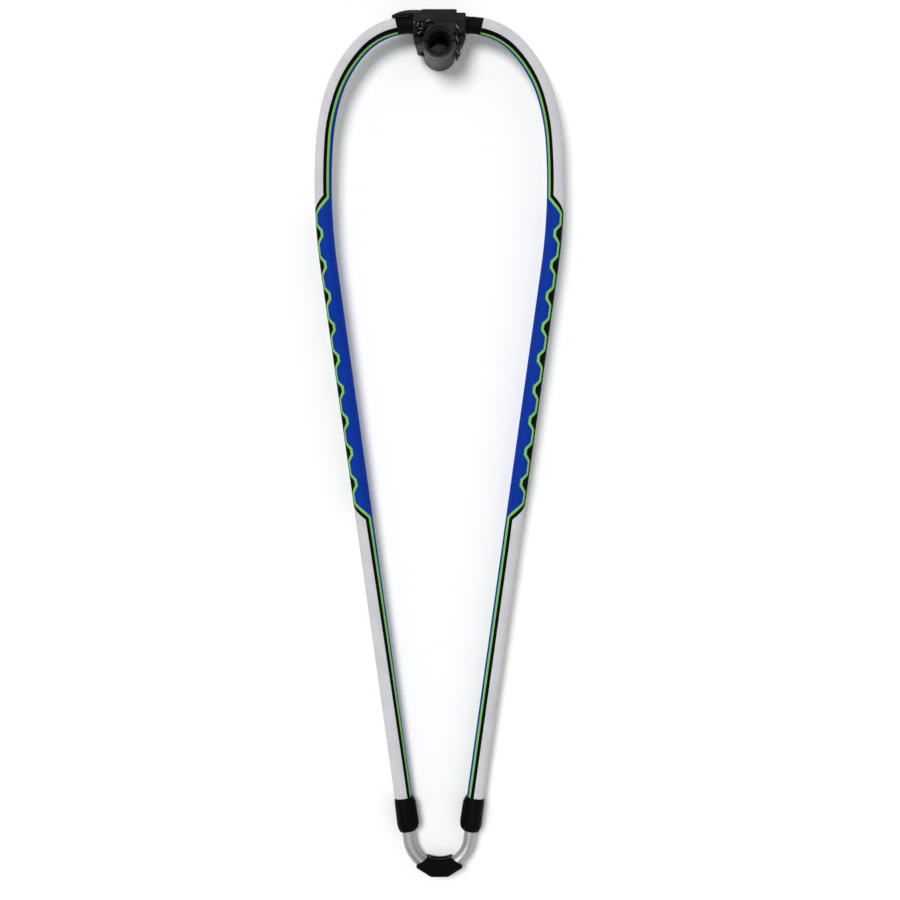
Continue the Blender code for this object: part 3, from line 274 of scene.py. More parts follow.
def arm_frame(along, side):
    """A frame on an arm's centreline, by distance from the middle of the front.

    Its X axis points into the boom, its Y axis up and its Z axis to the tail.
    """
    left = along
    x, y, heading = 0.0, front_y, 0.0
    bends = [(radius, radius * math.radians(sweep)) for radius, sweep in arm_bends]
    for radius, length in [(None, front_half), *bends, (None, along)]:
        used = min(left, length)
        if radius is None:
            x += used * math.cos(heading)
            y -= used * math.sin(heading)
        else:
            turned = heading + used / radius
            x += radius * (math.sin(turned) - math.sin(heading))
            y += radius * (math.cos(turned) - math.cos(heading))
            heading = turned
        left -= used
        if left <= 0:
            break
    placed = Matrix.Identity(4)
    placed.col[0][:3] = (-side * math.sin(heading), -math.cos(heading), 0)
    placed.col[1][:3] = (0, 0, 1)
    placed.col[2][:3] = (side * math.cos(heading), -math.sin(heading), 0)
    placed.translation = (side * x, y, 0)
    return placed


def sleeve_turn(along, side):
    """How far the sleeve's print is turned towards the inside of the boom, where it was pulled on."""
    marks = print_turn[side]
    for (start, first), (end, last) in zip(marks, marks[1:]):
        if along <= end:
            break
    share = min(max((along - start) / (end - start), 0), 1)
    return math.radians(first + (last - first) * share)


def finished(name, shape, sharp=38):
    """A bmesh made an object in the scene, smooth but for its sharp edges."""
    mesh = bpy.data.meshes.new(name)
    shape.to_mesh(mesh)
    shape.free()
    mesh.shade_smooth()
    mesh.set_sharp_from_angle(angle=math.radians(sharp))
    piece = bpy.data.objects.new(name, mesh)
    bpy.context.scene.collection.objects.link(piece)
    return piece


def swept_wall(name, stations, frame_at, turn_at=None):
    """A tube with its wall: a ring carried through (distance, radius) stations and back to its start."""
    seam_width = 1e-5
    shape = bmesh.new()
    wrap = shape.verts.layers.float_vector.new("wrap")
    ring = bmesh.ops.create_circle(shape, cap_ends=False, segments=tube_sides, radius=1)["verts"]
    edges = shape.edges[:]
    before = Matrix.Identity(4)
    for number, (distance, radius) in enumerate(stations):
        if number:
            grown = bmesh.ops.extrude_edge_only(shape, edges=edges)["geom"]
            ring = [part for part in grown if isinstance(part, bmesh.types.BMVert)]
            edges = [part for part in grown if isinstance(part, bmesh.types.BMEdge)]
        here = frame_at(distance)
        sized = here @ Matrix.Diagonal((radius, radius, 1, 1))
        bmesh.ops.transform(shape, matrix=sized @ before.inverted(), verts=ring)
        before = sized
        to_local = here.inverted()
        for vert in ring:
            local = to_local @ vert.co
            angle = math.atan2(local.x, local.y) - (turn_at(distance) if turn_at else 0)
            vert[wrap] = (math.sin(angle), math.cos(angle), distance)
    bmesh.ops.remove_doubles(shape, verts=shape.verts, dist=seam_width)
    bmesh.ops.recalc_face_normals(shape, faces=shape.faces)
    return finished(name, shape)


def stretch_marks(start, end, lip):
    """Distances along a sleeve: close in its bends, wider on the straight, with a lip at each end."""
    marks = [start + lip]
    while marks[-1] < end - lip - straight_step / 2:
        marks.append(marks[-1] + (bend_step if marks[-1] < bends_end else straight_step))
    marks[-1] = end - lip
    return marks


def sleeve_stations(start, end, inner, outer, lip):
    """The outline of a sleeve's wall: out at its start, along, in at its end and back inside."""
    marks = stretch_marks(start, end, lip)
    corner = lip * 0.3
    stations = [(start, inner), (start, outer - lip), (start + corner, outer - corner)]
    stations += [(mark, outer) for mark in marks]
    stations += [(end - corner, outer - corner), (end, outer - lip), (end, inner)]
    stations += [(mark, inner) for mark in reversed(marks[::2])]
    stations.append((start, inner))
    return stations


def mixed(tree, factor, first, second):
    """A colour between two others, as a socket."""
    made = add_node(tree, "ShaderNodeMix", {"data_type": "RGBA"}, {0: factor, 6: first, 7: second})
    return made.outputs[2]


def wrap_parts(tree):
    """The three parts of a place on a swept piece, as sockets: inward, upward and along."""
    return add_node(tree, "ShaderNodeSeparateXYZ", None, {0: wrap_of(tree)}).outputs


def rise(tree, value, length):
    """A value's climb from 0 to 1 over a length, as a socket."""
    share = maths(tree, "DIVIDE", value, length)
    return maths(tree, "MINIMUM", maths(tree, "MAXIMUM", share, 0), 1)


def print_edge(tree, along, shift, offset):
    """How far round the sleeve one edge of the print's line lies, in millimetres from the top."""
    front_drop = rise(tree, maths(tree, "SUBTRACT", along, panel_start + shift), panel_ramp)
    rear_rise = rise(tree, maths(tree, "SUBTRACT", along, panel_end - shift), panel_ramp)
    in_panel = maths(tree, "SUBTRACT", front_drop, rear_rise)
    line = maths(tree, "MULTIPLY_ADD", in_panel, -panel_drop, line_level)
    from_first = maths(tree, "SUBTRACT", along, first_notch)
    in_pitch = maths(tree, "WRAP", from_first, notch_pitch / 2, -notch_pitch / 2)
    from_notch = maths(tree, "ABSOLUTE", in_pitch)
    notch = rise(tree, maths(tree, "SUBTRACT", notch_half + shift, from_notch), notch_ramp)
    after_first = maths(tree, "GREATER_THAN", along, first_notch - notch_pitch / 2)
    before_last = maths(tree, "LESS_THAN", along, first_notch + (notch_count - 0.5) * notch_pitch)
    notch = maths(tree, "MULTIPLY", notch, maths(tree, "MULTIPLY", after_first, before_last))
    return maths(tree, "ADD", maths(tree, "MULTIPLY_ADD", notch, notch_rise, line), offset)


def printed_foam():
    """White foam with its print: the lines and the panel are laid out in millimetres on the sleeve."""
    material, tree, shader = shader_of("printed_foam")
    inward, upward, distance = wrap_parts(tree)
    along = maths(tree, "MULTIPLY", distance, millimetres_per_metre)
    angle = maths(tree, "ARCTAN2", inward, maths(tree, "ABSOLUTE", upward))
    around = maths(tree, "MULTIPLY", angle, grip_radius * millimetres_per_metre)
    blue_edge = print_edge(tree, along, *blue_line)
    green_edge = print_edge(tree, along, *green_line)
    to_widening = maths(tree, "DIVIDE", maths(tree, "SUBTRACT", widening_end, along), widening_length)
    near_head = maths(tree, "MAXIMUM", to_widening, 0)
    black_edge = maths(tree, "MULTIPLY_ADD", near_head, -widening, print_edge(tree, along, *black_line))
    past_start = maths(tree, "GREATER_THAN", along, black_start)
    in_panel = maths(tree, "MULTIPLY", past_start, maths(tree, "LESS_THAN", along, black_end))
    black = maths(tree, "MAXIMUM", maths(tree, "GREATER_THAN", around, black_edge), in_panel)
    colour = mixed(tree, black, foam_white, print_black)
    colour = mixed(tree, maths(tree, "GREATER_THAN", around, green_edge), colour, print_green)
    colour = mixed(tree, maths(tree, "GREATER_THAN", around, blue_edge), colour, print_blue)
    place = place_on(tree)
    wear = mottle(tree, place, scale=28, detail=5)
    fade = ranged(tree, wear, 0.35, 0.75, first=1.0, last=0.88)
    pores = add_node(tree, "ShaderNodeTexVoronoi", {"feature": "SMOOTH_F1"},
                     {"Vector": place, "Scale": 760}).outputs["Distance"]
    # Painted shade and light on the foam's relief: darker in the sunk grooves between the pores, a little
    # paler on their tops.
    pore_relief_shade = ranged(tree, pores, 0.15, 0.7, first=1.03, last=0.86)
    tone = maths(tree, "MULTIPLY", fade, pore_relief_shade)
    tree.links.new(toned(tree, colour, tone), shader.inputs["Base Color"])
    gloss = ranged(tree, wear, 0.3, 0.7, first=0.48, last=0.62)
    tree.links.new(gloss, shader.inputs["Roughness"])
    grained(tree, shader, pores, strength=0.55, depth=0.0005, sunk=True)
    shader.inputs["Specular IOR Level"].default_value = 0.03
    return material


grip_finish = printed_foam()
grip_stations = sleeve_stations(grip_start, grip_end, grip_inner, grip_radius, grip_lip)
for side, name in both_sides:
    grip = swept_wall(f"foam_grip_{name}", grip_stations, lambda along: arm_frame(along, side),
                      lambda along: sleeve_turn(along, side))
    grip.data.materials.append(grip_finish)
    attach(grip, "frame")
    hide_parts(f"grip_{name}")


# Cuffs
# Short rubber sleeves that close the gap between the head and each grip. They are pulled over the
# tube before the head is clamped on, and have a raised lip at each end.
def smooth_rubber(name, colour, roughness, skin_scale, shine):
    """Moulded rubber: a soft sheen with a fine skin and a little dust."""
    material, tree, shader = shader_of(name)
    place = place_on(tree)
    skin = mottle(tree, place, scale=skin_scale, detail=4)
    dust = mottle(tree, place, scale=55, detail=5)
    pale = tuple(channel * 1.8 + 0.0015 for channel in colour)
    dusted = mixed(tree, ranged(tree, dust, 0.45, 0.8), (*colour, 1), (*pale, 1))
    tree.links.new(dusted, shader.inputs["Base Color"])
    gloss = ranged(tree, dust, 0.3, 0.75, first=roughness * 0.85, last=roughness * 1.25)
    tree.links.new(gloss, shader.inputs["Roughness"])
    grained(tree, shader, skin, strength=0.15, depth=0.0003)
    shader.inputs["Specular IOR Level"].default_value = shine
    return material


cuff_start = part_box("head_body")[1].x + parting
cuff_length = cuff_end - cuff_start
cuff_lip = 0.0008
cuff_band = 0.0035
cuff_waist = grip_radius - 0.0006
cuff_steps = 6
waist_start = cuff_start + cuff_band + cuff_lip
waist_end = cuff_end - cuff_band - cuff_lip
cuff_stations = [
    (cuff_start, grip_inner), (cuff_start, grip_radius - cuff_lip), (cuff_start + cuff_lip, grip_radius),
    (cuff_start + cuff_band, grip_radius), (waist_start, cuff_waist),
]
cuff_stations += [(waist_start + cuff_band * step, cuff_waist) for step in range(1, cuff_steps)]
cuff_stations += [
    (waist_end, cuff_waist), (cuff_end - cuff_band, grip_radius), (cuff_end - cuff_lip, grip_radius),
    (cuff_end, grip_radius - cuff_lip), (cuff_end, grip_inner),
]
for step in reversed(range(cuff_steps)):
    cuff_stations.append((cuff_start + cuff_length * step / cuff_steps, grip_inner))
cuff_finish = smooth_rubber("cuff_rubber", colour=(0.0016, 0.0020, 0.0022), roughness=0.55,
                            skin_scale=1500, shine=0.05)
for side, name in both_sides:
    cuff = swept_wall(f"rubber_cuff_{name}", cuff_stations, lambda along: arm_frame(along, side))
    cuff.data.materials.append(cuff_finish)
    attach(cuff, "frame")
    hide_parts(f"cuff_{name}")


# Head body and cap
# The head is moulded in glass-filled nylon in two halves, which four screws close on the tube. The
# rear half carries the mast saddle and the jaw's ear, the front half the flanges of the lever.
def moulded_nylon(name, colour, roughness, shine, grain=0.30):
    """Moulded nylon: a fine eroded grain, uneven gloss, and edges painted paler in patches, partly rubbed
    wear and partly painted highlight.
    """
    material, tree, shader = shader_of(name)
    place = place_on(tree)
    fine = mottle(tree, place, scale=2400, detail=2)
    patches = mottle(tree, place, scale=60, detail=5)
    rounded_normal = add_node(tree, "ShaderNodeBevel", {"samples": 4}, {"Radius": 0.0009}).outputs[0]
    true_normal = add_node(tree, "ShaderNodeNewGeometry").outputs["Normal"]
    facing = add_node(tree, "ShaderNodeVectorMath", {"operation": "DOT_PRODUCT"},
                      {0: rounded_normal, 1: true_normal}).outputs["Value"]
    # Paler rounded edges: partly rubbed wear, partly painted highlight standing in for the glints along
    # the edges.
    edge = ranged(tree, facing, 0.985, 0.86, first=0, last=0.55)
    edge_wear_and_highlight = maths(tree, "MULTIPLY", edge, patches)
    pale = tuple(channel * 2.5 + 0.02 for channel in colour)
    tree.links.new(mixed(tree, edge_wear_and_highlight, (*colour, 1), (*pale, 1)), shader.inputs["Base Color"])
    gloss = ranged(tree, patches, 0.3, 0.7, first=roughness * 0.88, last=roughness * 1.18)
    tree.links.new(gloss, shader.inputs["Roughness"])
    grained(tree, shader, fine, strength=grain, depth=0.0003)
    shader.inputs["Specular IOR Level"].default_value = shine
    return material


def rounded_out(shape, point, axis, cuts):
    """Split the flats of a turned form round an axis, and push the new corners out to the true circle."""
    least_turn = math.radians(3)
    most_turn = math.radians(34)
    least_radius = 1e-4
    same = 1e-5
    near = 2e-5
    on_circle = 1e-7
    axis = Vector(axis).normalized()

    def ring_of(vert):
        away = vert.co - Vector(point)
        height = away.dot(axis)
        return height, away - axis * height

    chords = []
    rings = set()
    for edge in shape.edges:
        (low, first), (high, last) = ring_of(edge.verts[0]), ring_of(edge.verts[1])
        level = abs(low - high) < same and abs(first.length - last.length) < same
        if level and first.length > least_radius and least_turn < first.angle(last) < most_turn:
            chords.append(edge)
            rings.add((low, first.length, first.length * math.cos(first.angle(last) / 2)))
    split = bmesh.ops.subdivide_edges(shape, edges=chords, cuts=cuts, use_grid_fill=True)
    for vert in {part for part in split["geom_split"] if isinstance(part, bmesh.types.BMVert)}:
        height, away = ring_of(vert)
        for level, radius, flat in rings:
            if abs(level - height) < near and flat - near < away.length < radius - on_circle:
                vert.co += away * (radius / away.length - 1)
                break


def softened(node, name, width, turned=None, cuts=2, limited=True, merge=2e-5, past=0):
    """A copy of a CAD piece with its flats joined, its round forms made finer and its edges rounded.

    A turned form is given as a point on its axis and the axis. A limited rounding gets narrower where
    edges lie close, and past leaves the edges before that distance along the axis as they are.
    """
    flat_angle = math.radians(0.5)
    hard_angle = 0.6
    shape = bmesh.new()
    shape.from_mesh(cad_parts[node].data)
    bmesh.ops.remove_doubles(shape, verts=shape.verts, dist=merge)
    bmesh.ops.dissolve_limit(shape, angle_limit=flat_angle, verts=shape.verts, edges=shape.edges)
    if turned:
        rounded_out(shape, *turned, cuts)
    shared = [edge for edge in shape.edges if len(edge.link_faces) == 2]
    hard = [edge for edge in shared if edge.calc_face_angle() > hard_angle]
    if past:
        point, axis = turned
        hard = [edge for edge in hard if min((vert.co - point).dot(axis) for vert in edge.verts) > past]
    bmesh.ops.bevel(shape, geom=hard, offset=width, offset_type="OFFSET", segments=2, profile=0.5,
                    affect="EDGES", clamp_overlap=limited, material=-1)
    piece = finished(name, shape, sharp=50)
    even = piece.modifiers.new("even_shading", "WEIGHTED_NORMAL")
    even.keep_sharp = True
    return piece


def put(piece, material, body, node):
    """Finish a piece that stands for a CAD node, and set it on the node's body."""
    piece.data.materials.append(material)
    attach(piece, body)
    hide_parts(node)


upright = (0, 0, 1)
mast_axis = (Vector((0, 0, 0)), upright)
head_finish = moulded_nylon("head_nylon", colour=(0.0050, 0.0055, 0.0060), roughness=0.50, shine=0.12)
head_body = softened("head_body", "moulded_head_body", width=0.0005, turned=mast_axis, limited=False)
put(head_body, head_finish, "frame", "head_body")
head_cap = softened("head_cap", "moulded_head_cap", width=0.0006, limited=False)
put(head_cap, head_finish, "frame", "head_cap")


# Head screws
# Four stainless cap screws with hexagon sockets, sunk in the front of the cap. They pass the tube
# above and below and bite in the rear half.
def put_turned(node, name, width, material, body, axis=upright):
    """Round a piece that is turned about an axis through its middle, and put it in its node's place."""
    low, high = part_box(node)
    middle = (low + high) / 2
    put(softened(node, name, width, turned=(middle, axis)), material, body, node)


steel = drawn_alloy("stainless", colour=(0.42, 0.42, 0.44), roughness=0.30)
screw_edge = 0.0003
for number in (1, 2, 3, 4):
    put_turned(f"head_screw_{number}", f"cap_screw_{number}", screw_edge, steel, "frame",
               axis=(0, 1, 0))

# Mast pads
# Thick rubber liners in the saddle and the jaw, flared at both ends so that the boom can tilt on
# the mast. Each is pressed into its half and held by its own spring.
pad_edge = 0.0004
pad_shine = 0.14
pad_waist = 0.004
pad_rim = 0.024
# Painted shade: the liners' colour in the throat of the mast hole, where the hole is dark.
throat_painted_shade = (0.0004, 0.0004, 0.0004, 1)


def liner_rubber():
    """The liners' rubber, with painted shade in the mast hole's throat: near black and without sheen at
    the waist, its own dusted grey and sheen towards the flared rims.
    """
    material = smooth_rubber("pad_rubber", colour=(0.0050, 0.0054, 0.0058), roughness=0.55,
                             skin_scale=900, shine=pad_shine)
    tree = material.node_tree
    shader = tree.nodes["Principled BSDF"]
    height = add_node(tree, "ShaderNodeSeparateXYZ", None, {0: place_on(tree)}).outputs["Z"]
    towards_rim = ranged(tree, maths(tree, "ABSOLUTE", height), pad_waist, pad_rim)
    rim_tone = shader.inputs["Base Color"].links[0].from_socket
    # Painted shade in the throat, fading out towards the rims; the sheen fades in with it.
    tree.links.new(mixed(tree, towards_rim, throat_painted_shade, rim_tone), shader.inputs["Base Color"])
    shine = maths(tree, "MULTIPLY", towards_rim, pad_shine)
    tree.links.new(shine, shader.inputs["Specular IOR Level"])
    return material


pad_finish = liner_rubber()
saddle_liner = softened("saddle_pad", "saddle_liner", pad_edge, turned=mast_axis)
put(saddle_liner, pad_finish, "frame", "saddle_pad")
jaw_liner = softened("jaw_pad", "jaw_liner", pad_edge, turned=mast_axis)
put(jaw_liner, pad_finish, "jaw", "jaw_pad")

# Clamp lever
# A moulded nylon lever across the front of the cap, on a steel pin at its right end. Its tip curves
# back past the left side of the head, where fingers get behind it.
lever_finish = moulded_nylon("lever_nylon", colour=(0.0100, 0.0112, 0.0120), roughness=0.48, shine=0.16)
clamp_lever = softened("clamp_lever", "moulded_lever", width=0.0006)
put(clamp_lever, lever_finish, "lever", "clamp_lever")
dark_steel = drawn_alloy("blackened_steel", colour=(0.045, 0.046, 0.050), roughness=0.34)
axle_edge = 0.0003
put_turned("lever_pin", "lever_axle", axle_edge, dark_steel, "frame")

# Mast jaw
# The rear half of the clamp, moulded in the same nylon but polished on its outer face. Its base colour is
# three times paler than the head's: painted light for the light its sides catch. It swings on a steel pin
# on the left, and the line draws its ear shut on the right.
# The paler base colour is painted light on the jaw's sides, not a different nylon.
jaw_finish = moulded_nylon("jaw_nylon", colour=(0.016, 0.016, 0.016), roughness=0.40, shine=0.30,
                           grain=0.05)
mast_jaw = softened("mast_jaw", "moulded_jaw", width=0.0005, turned=mast_axis, limited=False)
put(mast_jaw, jaw_finish, "jaw", "mast_jaw")
put_turned("jaw_pin", "jaw_axle", axle_edge, dark_steel, "frame")

# Clamp line
# Five millimetre braided line, black with pale flecks. It comes out of the head, goes through the
# jaw's ear and back, and its spare end is knotted on top of the head.
line_diameter = 0.005
line_x = 0.0318
yarns = 8
braid_lay = 0.021


def smooth_route(points, per_span):
    """A smooth curve through the points of a line's route."""
    knots = [Vector(point) for point in points]
    knots = [2 * knots[0] - knots[1], *knots, 2 * knots[-1] - knots[-2]]
    route = []
    for a, b, c, d in zip(knots, knots[1:], knots[2:], knots[3:]):
        for step in range(per_span):
            t = step / per_span
            cubic = (3 * b - a - 3 * c + d) * t ** 3
            route.append(b + ((c - a) * t + (2 * a - 5 * b + 4 * c - d) * t ** 2 + cubic) / 2)
    route.append(knots[-2])
    return route


def line_tube(name, route, radius, sides=16):
    """A round line along a route, its ends closed, with its braid laid out in the wrap attribute."""
    shape = bmesh.new()
    wrap = shape.verts.layers.float_vector.new("wrap")
    ring = bmesh.ops.create_circle(shape, cap_ends=True, segments=sides, radius=radius)["verts"]
    edges = shape.edges[:]
    normal = Vector((1, 0, 0))
    travelled = 0.0
    before = Matrix.Identity(4)
    for number, point in enumerate(route):
        ahead = route[min(number + 1, len(route) - 1)] - route[max(number - 1, 0)]
        ahead.normalize()
        normal = (normal - ahead * normal.dot(ahead)).normalized()
        here = Matrix.Identity(4)
        here.col[0][:3] = normal
        here.col[1][:3] = ahead.cross(normal)
        here.col[2][:3] = ahead
        here.translation = point
        if number:
            travelled += (point - route[number - 1]).length
            grown = bmesh.ops.extrude_edge_only(shape, edges=edges)["geom"]
            ring = [part for part in grown if isinstance(part, bmesh.types.BMVert)]
            edges = [part for part in grown if isinstance(part, bmesh.types.BMEdge)]
        bmesh.ops.transform(shape, matrix=here @ before.inverted(), verts=ring)
        before = here
        to_local = here.inverted()
        for vert in ring:
            local = to_local @ vert.co
            vert[wrap] = (local.x / radius, local.y / radius, travelled)
    bmesh.ops.contextual_create(shape, geom=edges)
    bmesh.ops.recalc_face_normals(shape, faces=shape.faces)
    return finished(name, shape, sharp=60)


def braided_line():
    """Sixteen-plait braid: yarns that cross over and under, with one pale yarn in the second spiral."""
    material, tree, shader = shader_of("braided_line")
    across, upward, distance = wrap_parts(tree)
    turn = maths(tree, "DIVIDE", maths(tree, "ARCTAN2", across, upward), 2 * math.pi)
    lay = maths(tree, "DIVIDE", distance, braid_lay)
    ridges = []
    for sense in (1, -1):
        spiral = maths(tree, "MULTIPLY_ADD", turn, sense, lay)
        crossing = maths(tree, "MULTIPLY_ADD", turn, -sense, lay)
        phase = maths(tree, "FRACT", maths(tree, "MULTIPLY", spiral, yarns))
        ridge = maths(tree, "SINE", maths(tree, "MULTIPLY", phase, math.pi))
        over = maths(tree, "FRACT", maths(tree, "MULTIPLY", crossing, yarns / 2))
        raised = maths(tree, "SINE", maths(tree, "MULTIPLY", over, 2 * math.pi))
        ridges.append(maths(tree, "MULTIPLY_ADD", raised, 0.6, ridge))
    pale_yarn = maths(tree, "LESS_THAN", maths(tree, "FRACT", spiral), 1 / yarns)
    fleck = maths(tree, "MULTIPLY", pale_yarn, maths(tree, "LESS_THAN", over, 0.5))
    worn = mottle(tree, place_on(tree), scale=900, detail=3)
    fibre = ranged(tree, worn, 0.3, 0.7, first=0.004, last=0.012)
    pale = mixed(tree, worn, (0.55, 0.55, 0.54, 1), (0.85, 0.85, 0.84, 1))
    tree.links.new(mixed(tree, fleck, fibre, pale), shader.inputs["Base Color"])
    shader.inputs["Roughness"].default_value = 0.8
    shader.inputs["Specular IOR Level"].default_value = 0.15
    grained(tree, shader, maths(tree, "MAXIMUM", *ridges), strength=0.8, depth=0.0005)
    return material


line_finish = braided_line()
over_head = [
    (0.0525, 0.0168), (0.0470, 0.0196), (0.0400, 0.0224), (0.0300, 0.0228), (0.0200, 0.0224),
    (0.0100, 0.0204), (-0.0010, 0.0190),
]
round_ear = [(-0.0060, 0.0190), (-0.0110, 0.0180), (-0.0152, 0.0140), (-0.0166, 0.0080)]
under_head = [(-0.0010, -0.0190), (0.0100, -0.0190), (0.0287, -0.0190)]
below = [(y, -z) for y, z in reversed(round_ear)]
line_route = [(line_x, y, z) for y, z in over_head + round_ear + below + under_head]
clamp_line = line_tube("braided_clamp_line", smooth_route(line_route, per_span=14), line_diameter / 2)
clamp_line.data.materials.append(line_finish)
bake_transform(clamp_line)
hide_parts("clamp_line")

knot_centre = Vector((-0.0345, 0.0305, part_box("line_knot")[0].z))
knot_radius = 0.0120
knot_lift = 0.0038
knot_line = line_diameter * 0.84
knot_opening = 0.30
knot_start = math.pi / 3 + knot_opening
knot_turn = 2 * math.pi - 2 * knot_opening
knot_steps = 60
knot_loop = []
for step in range(knot_steps + 1):
    angle = knot_start + knot_turn * step / knot_steps
    knot_loop.append((
        knot_radius / 3 * (math.sin(angle) + 2 * math.sin(2 * angle)),
        knot_radius / 3 * (math.cos(angle) - 2 * math.cos(2 * angle)),
        knot_line / 2 + knot_lift * (1 - math.sin(3 * angle)),
    ))
spare_end = [(0.0235, 0.0080, knot_line * 0.55), (0.0180, 0.0095, knot_line * 0.75)]
other_end = [(0.0150, 0.0010, knot_line * 0.60), (0.0185, -0.0015, knot_line * 0.52)]
knot_points = [knot_centre + Vector(point) for point in spare_end + knot_loop + other_end]
tied_knot = line_tube("tied_knot", smooth_route(knot_points, per_span=3), knot_line / 2, sides=14)
put(tied_knot, line_finish, "frame", "line_knot")

# Collars
# Moulded sleeves glued on the ends of the arms. Each has a boss on its inner side for the lock clip,
# a hinged lever on a steel pin, which pushes a lock pin through the arm into a hole of the leg.
collar_finish = moulded_nylon("collar_nylon", colour=(0.0014, 0.0018, 0.0015), roughness=0.50, shine=0.05)
clip_finish = moulded_nylon("clip_nylon", colour=(0.0020, 0.0025, 0.0022), roughness=0.45, shine=0.10)
collar_mouth = 0.007
wide_merge = 1e-4
clip_axle_edge = 0.0002
for side, name in both_sides:
    node = f"collar_{name}"
    arm_end = arm_frame(grip_end, side)
    arm_axis = (arm_end.translation, arm_end.col[2].xyz)
    collar = softened(node, f"moulded_{node}", width=0.0005, turned=arm_axis, cuts=3, limited=False,
                      merge=wide_merge, past=collar_mouth)
    put(collar, collar_finish, "frame", node)
    put_turned(f"clip_pin_{name}", f"clip_axle_{name}", clip_axle_edge, dark_steel, "frame")
    node = f"lock_clip_{name}"
    lock_clip = softened(node, f"moulded_clip_{name}", width=0.0004)
    put(lock_clip, clip_finish, f"clip_{name}", node)
    node = f"lock_pin_{name}"
    lock_pin = softened(node, f"steel_{node}", width=0.0003)
    put(lock_pin, steel, f"clip_{name}", node)

# Tail tubes and legs
# Bright alloy tube, bent at the tail and straight where it slides in the arms. The leg's row of lock
# holes, on the inner side, lies in its finish as painted shade.
leg_colour = (0.47, 0.48, 0.465)
leg_roughness = 0.50
leg_shine = 0.5
# Painted shade for the lock holes, which are not cut in the leg's mesh.
painted_hole_shade = (0.004, 0.004, 0.004, 1)
leg_radius = 0.011
leg_wall = 0.0015
leg_length = 0.050
leg_steps = 60
collar_length = 0.060
leg_end = grip_end + parting + collar_length
leg_start = leg_end - leg_length
slide_start = leg_start + 0.006
slide_end = leg_end - 0.001
tail_travel = 0.500
drawn_out = 1 + tail_travel / (slide_end - slide_start)
lock_pitch = 0.050
lock_hole_radius = 0.0022
pin_low, pin_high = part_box("lock_pin_right")
right_end = arm_frame(grip_end, 1)
pin_along = grip_end + ((pin_low + pin_high) / 2 - right_end.translation).dot(right_end.col[2].xyz)
first_hole = slide_start + (pin_along - slide_start) / drawn_out
tail_straight = 0.018
tube_end_x = 0.0205
convergence = math.radians(sum(sweep for radius, sweep in arm_bends)) - math.pi / 2
bend_start = arm_frame(leg_end + tail_straight, 1).translation
bend_radius = bend_start.x / math.cos(convergence)
bend_y = bend_start.y + bend_radius * math.sin(convergence)
bend_last = math.asin(tube_end_x / bend_radius)
bend_length = bend_radius * (math.pi / 2 - convergence - bend_last)
tail_start = leg_end + parting
tail_end = leg_end + tail_straight + bend_length
tail_steps = 36


def tail_frame(along, side):
    """A frame on the tail tube's centreline: straight out of the arm, then round the bend."""
    if along <= leg_end + tail_straight:
        return arm_frame(along, side)
    angle = math.pi / 2 - convergence - (along - leg_end - tail_straight) / bend_radius
    placed = Matrix.Identity(4)
    placed.col[0][:3] = (-side * math.sin(angle), math.cos(angle), 0)
    placed.col[1][:3] = (0, 0, 1)
    placed.col[2][:3] = (-side * math.cos(angle), -math.sin(angle), 0)
    placed.translation = (side * bend_radius * math.sin(angle), bend_y - bend_radius * math.cos(angle), 0)
    return placed


def tube_stations(outside, inside):
    """The outline of an open tube's wall, by distances along its outside and back along its inside."""
    stations = [(mark, leg_radius) for mark in outside]
    stations += [(mark, leg_radius - leg_wall) for mark in reversed(inside)]
    stations.append(stations[0])
    return stations


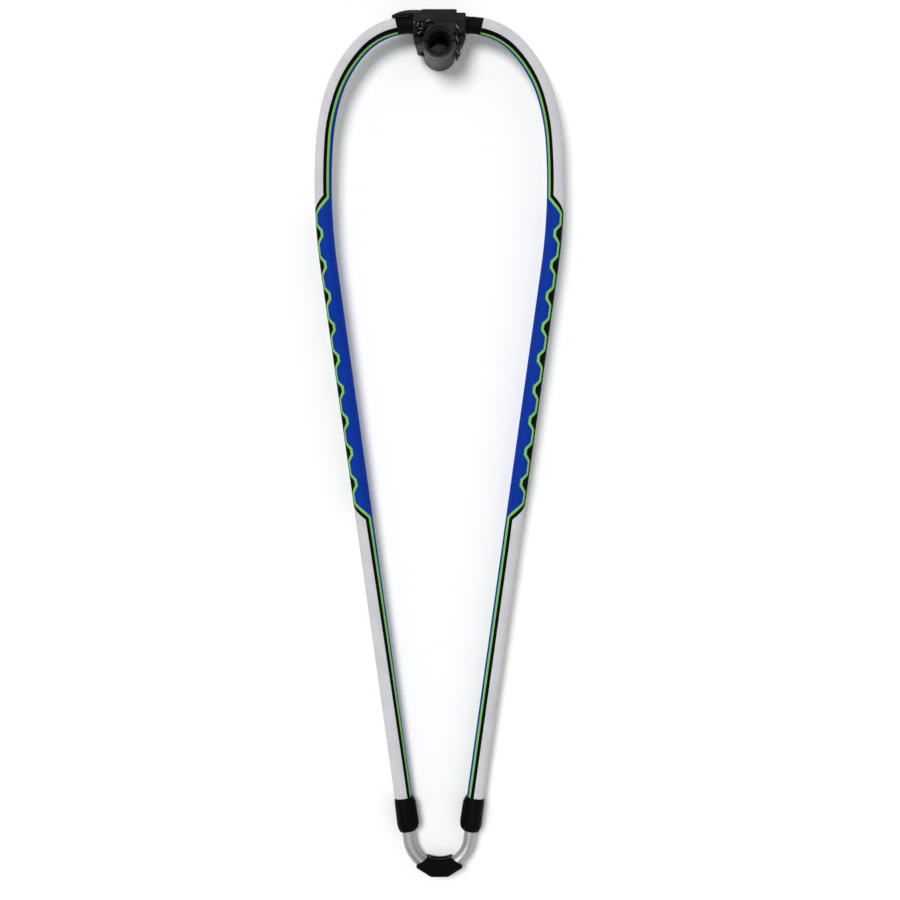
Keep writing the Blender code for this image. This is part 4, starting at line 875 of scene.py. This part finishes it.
def alloy_with_painted_holes():
    """The leg's alloy with its row of lock holes painted on as black spots of painted shade, which would
    be round if the leg were drawn out.
    """
    material = drawn_alloy("alloy_with_painted_holes", leg_colour, leg_roughness)
    tree = material.node_tree
    shader = tree.nodes["Principled BSDF"]
    inward, upward, distance = wrap_parts(tree)
    from_first = maths(tree, "SUBTRACT", distance, first_hole)
    in_row = maths(tree, "DIVIDE", from_first, lock_pitch / drawn_out)
    in_pitch = maths(tree, "FRACT", maths(tree, "ADD", in_row, 0.5))
    lengthways = maths(tree, "MULTIPLY", maths(tree, "SUBTRACT", in_pitch, 0.5), lock_pitch)
    crossways = maths(tree, "MULTIPLY", upward, leg_radius)
    length_squared = maths(tree, "MULTIPLY", lengthways, lengthways)
    cross_squared = maths(tree, "MULTIPLY", crossways, crossways)
    from_hole = maths(tree, "SQRT", maths(tree, "ADD", length_squared, cross_squared))
    near_hole = maths(tree, "LESS_THAN", from_hole, lock_hole_radius)
    # Painted shade: each hole is a black spot in the colour, with no metal and no sheen.
    painted_hole_mask = maths(tree, "MULTIPLY", near_hole, maths(tree, "GREATER_THAN", inward, 0))
    bare_alloy_mask = maths(tree, "SUBTRACT", 1, painted_hole_mask)
    alloy_tone = shader.inputs["Base Color"].links[0].from_socket
    tree.links.new(mixed(tree, painted_hole_mask, alloy_tone, painted_hole_shade), shader.inputs["Base Color"])
    tree.links.new(bare_alloy_mask, shader.inputs["Metallic"])
    tree.links.new(maths(tree, "MULTIPLY", bare_alloy_mask, leg_shine), shader.inputs["Specular IOR Level"])
    return material


tail_marks = [tail_start + (tail_end - tail_start) * step / tail_steps for step in range(tail_steps + 1)]
tail_stations = tube_stations(tail_marks, tail_marks[::2])
leg_marks = [leg_start + leg_length * step / leg_steps for step in range(leg_steps + 1)]
leg_stations = tube_stations(leg_marks, leg_marks)
leg_alloy = drawn_alloy("leg_alloy", leg_colour, leg_roughness)
leg_finish = alloy_with_painted_holes()
for side, name in both_sides:
    tube = swept_wall(f"bent_tail_tube_{name}", tail_stations, lambda along: tail_frame(along, side))
    put(tube, leg_alloy, "tail", f"tail_tube_{name}")
    leg = swept_wall(f"sliding_leg_{name}", leg_stations, lambda along: arm_frame(along, side))
    leg.data.materials.append(leg_finish)
    first = arm_frame(slide_start, side).translation
    last = arm_frame(slide_end, side).translation
    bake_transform(leg)
    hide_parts(f"tail_leg_{name}")

# Tail block
# Two moulded nylon shells that close on the ends of the tail tubes, with two screws from below. A
# slot across the inside holds two sheaves for the outhaul line.
block_edge = 0.0006
sheave_edge = 0.0003
sheave_axle_edge = 0.0002
for part in ("upper", "lower"):
    node = f"tail_block_{part}"
    shell = softened(node, f"moulded_{node}", block_edge, merge=wide_merge)
    put(shell, collar_finish, "tail", node)
sheave_finish = moulded_nylon("sheave_acetal", colour=(0.50, 0.50, 0.47), roughness=0.35, shine=0.50,
                              grain=0.03)
for name in ("left", "right"):
    put_turned(f"tail_screw_{name}", f"block_screw_{name}", screw_edge, steel, "tail")
    put_turned(f"sheave_pin_{name}", f"sheave_axle_{name}", sheave_axle_edge, steel, "tail")
    node = f"sheave_{name}"
    put_turned(node, f"turned_{node}", sheave_edge, sheave_finish, node)
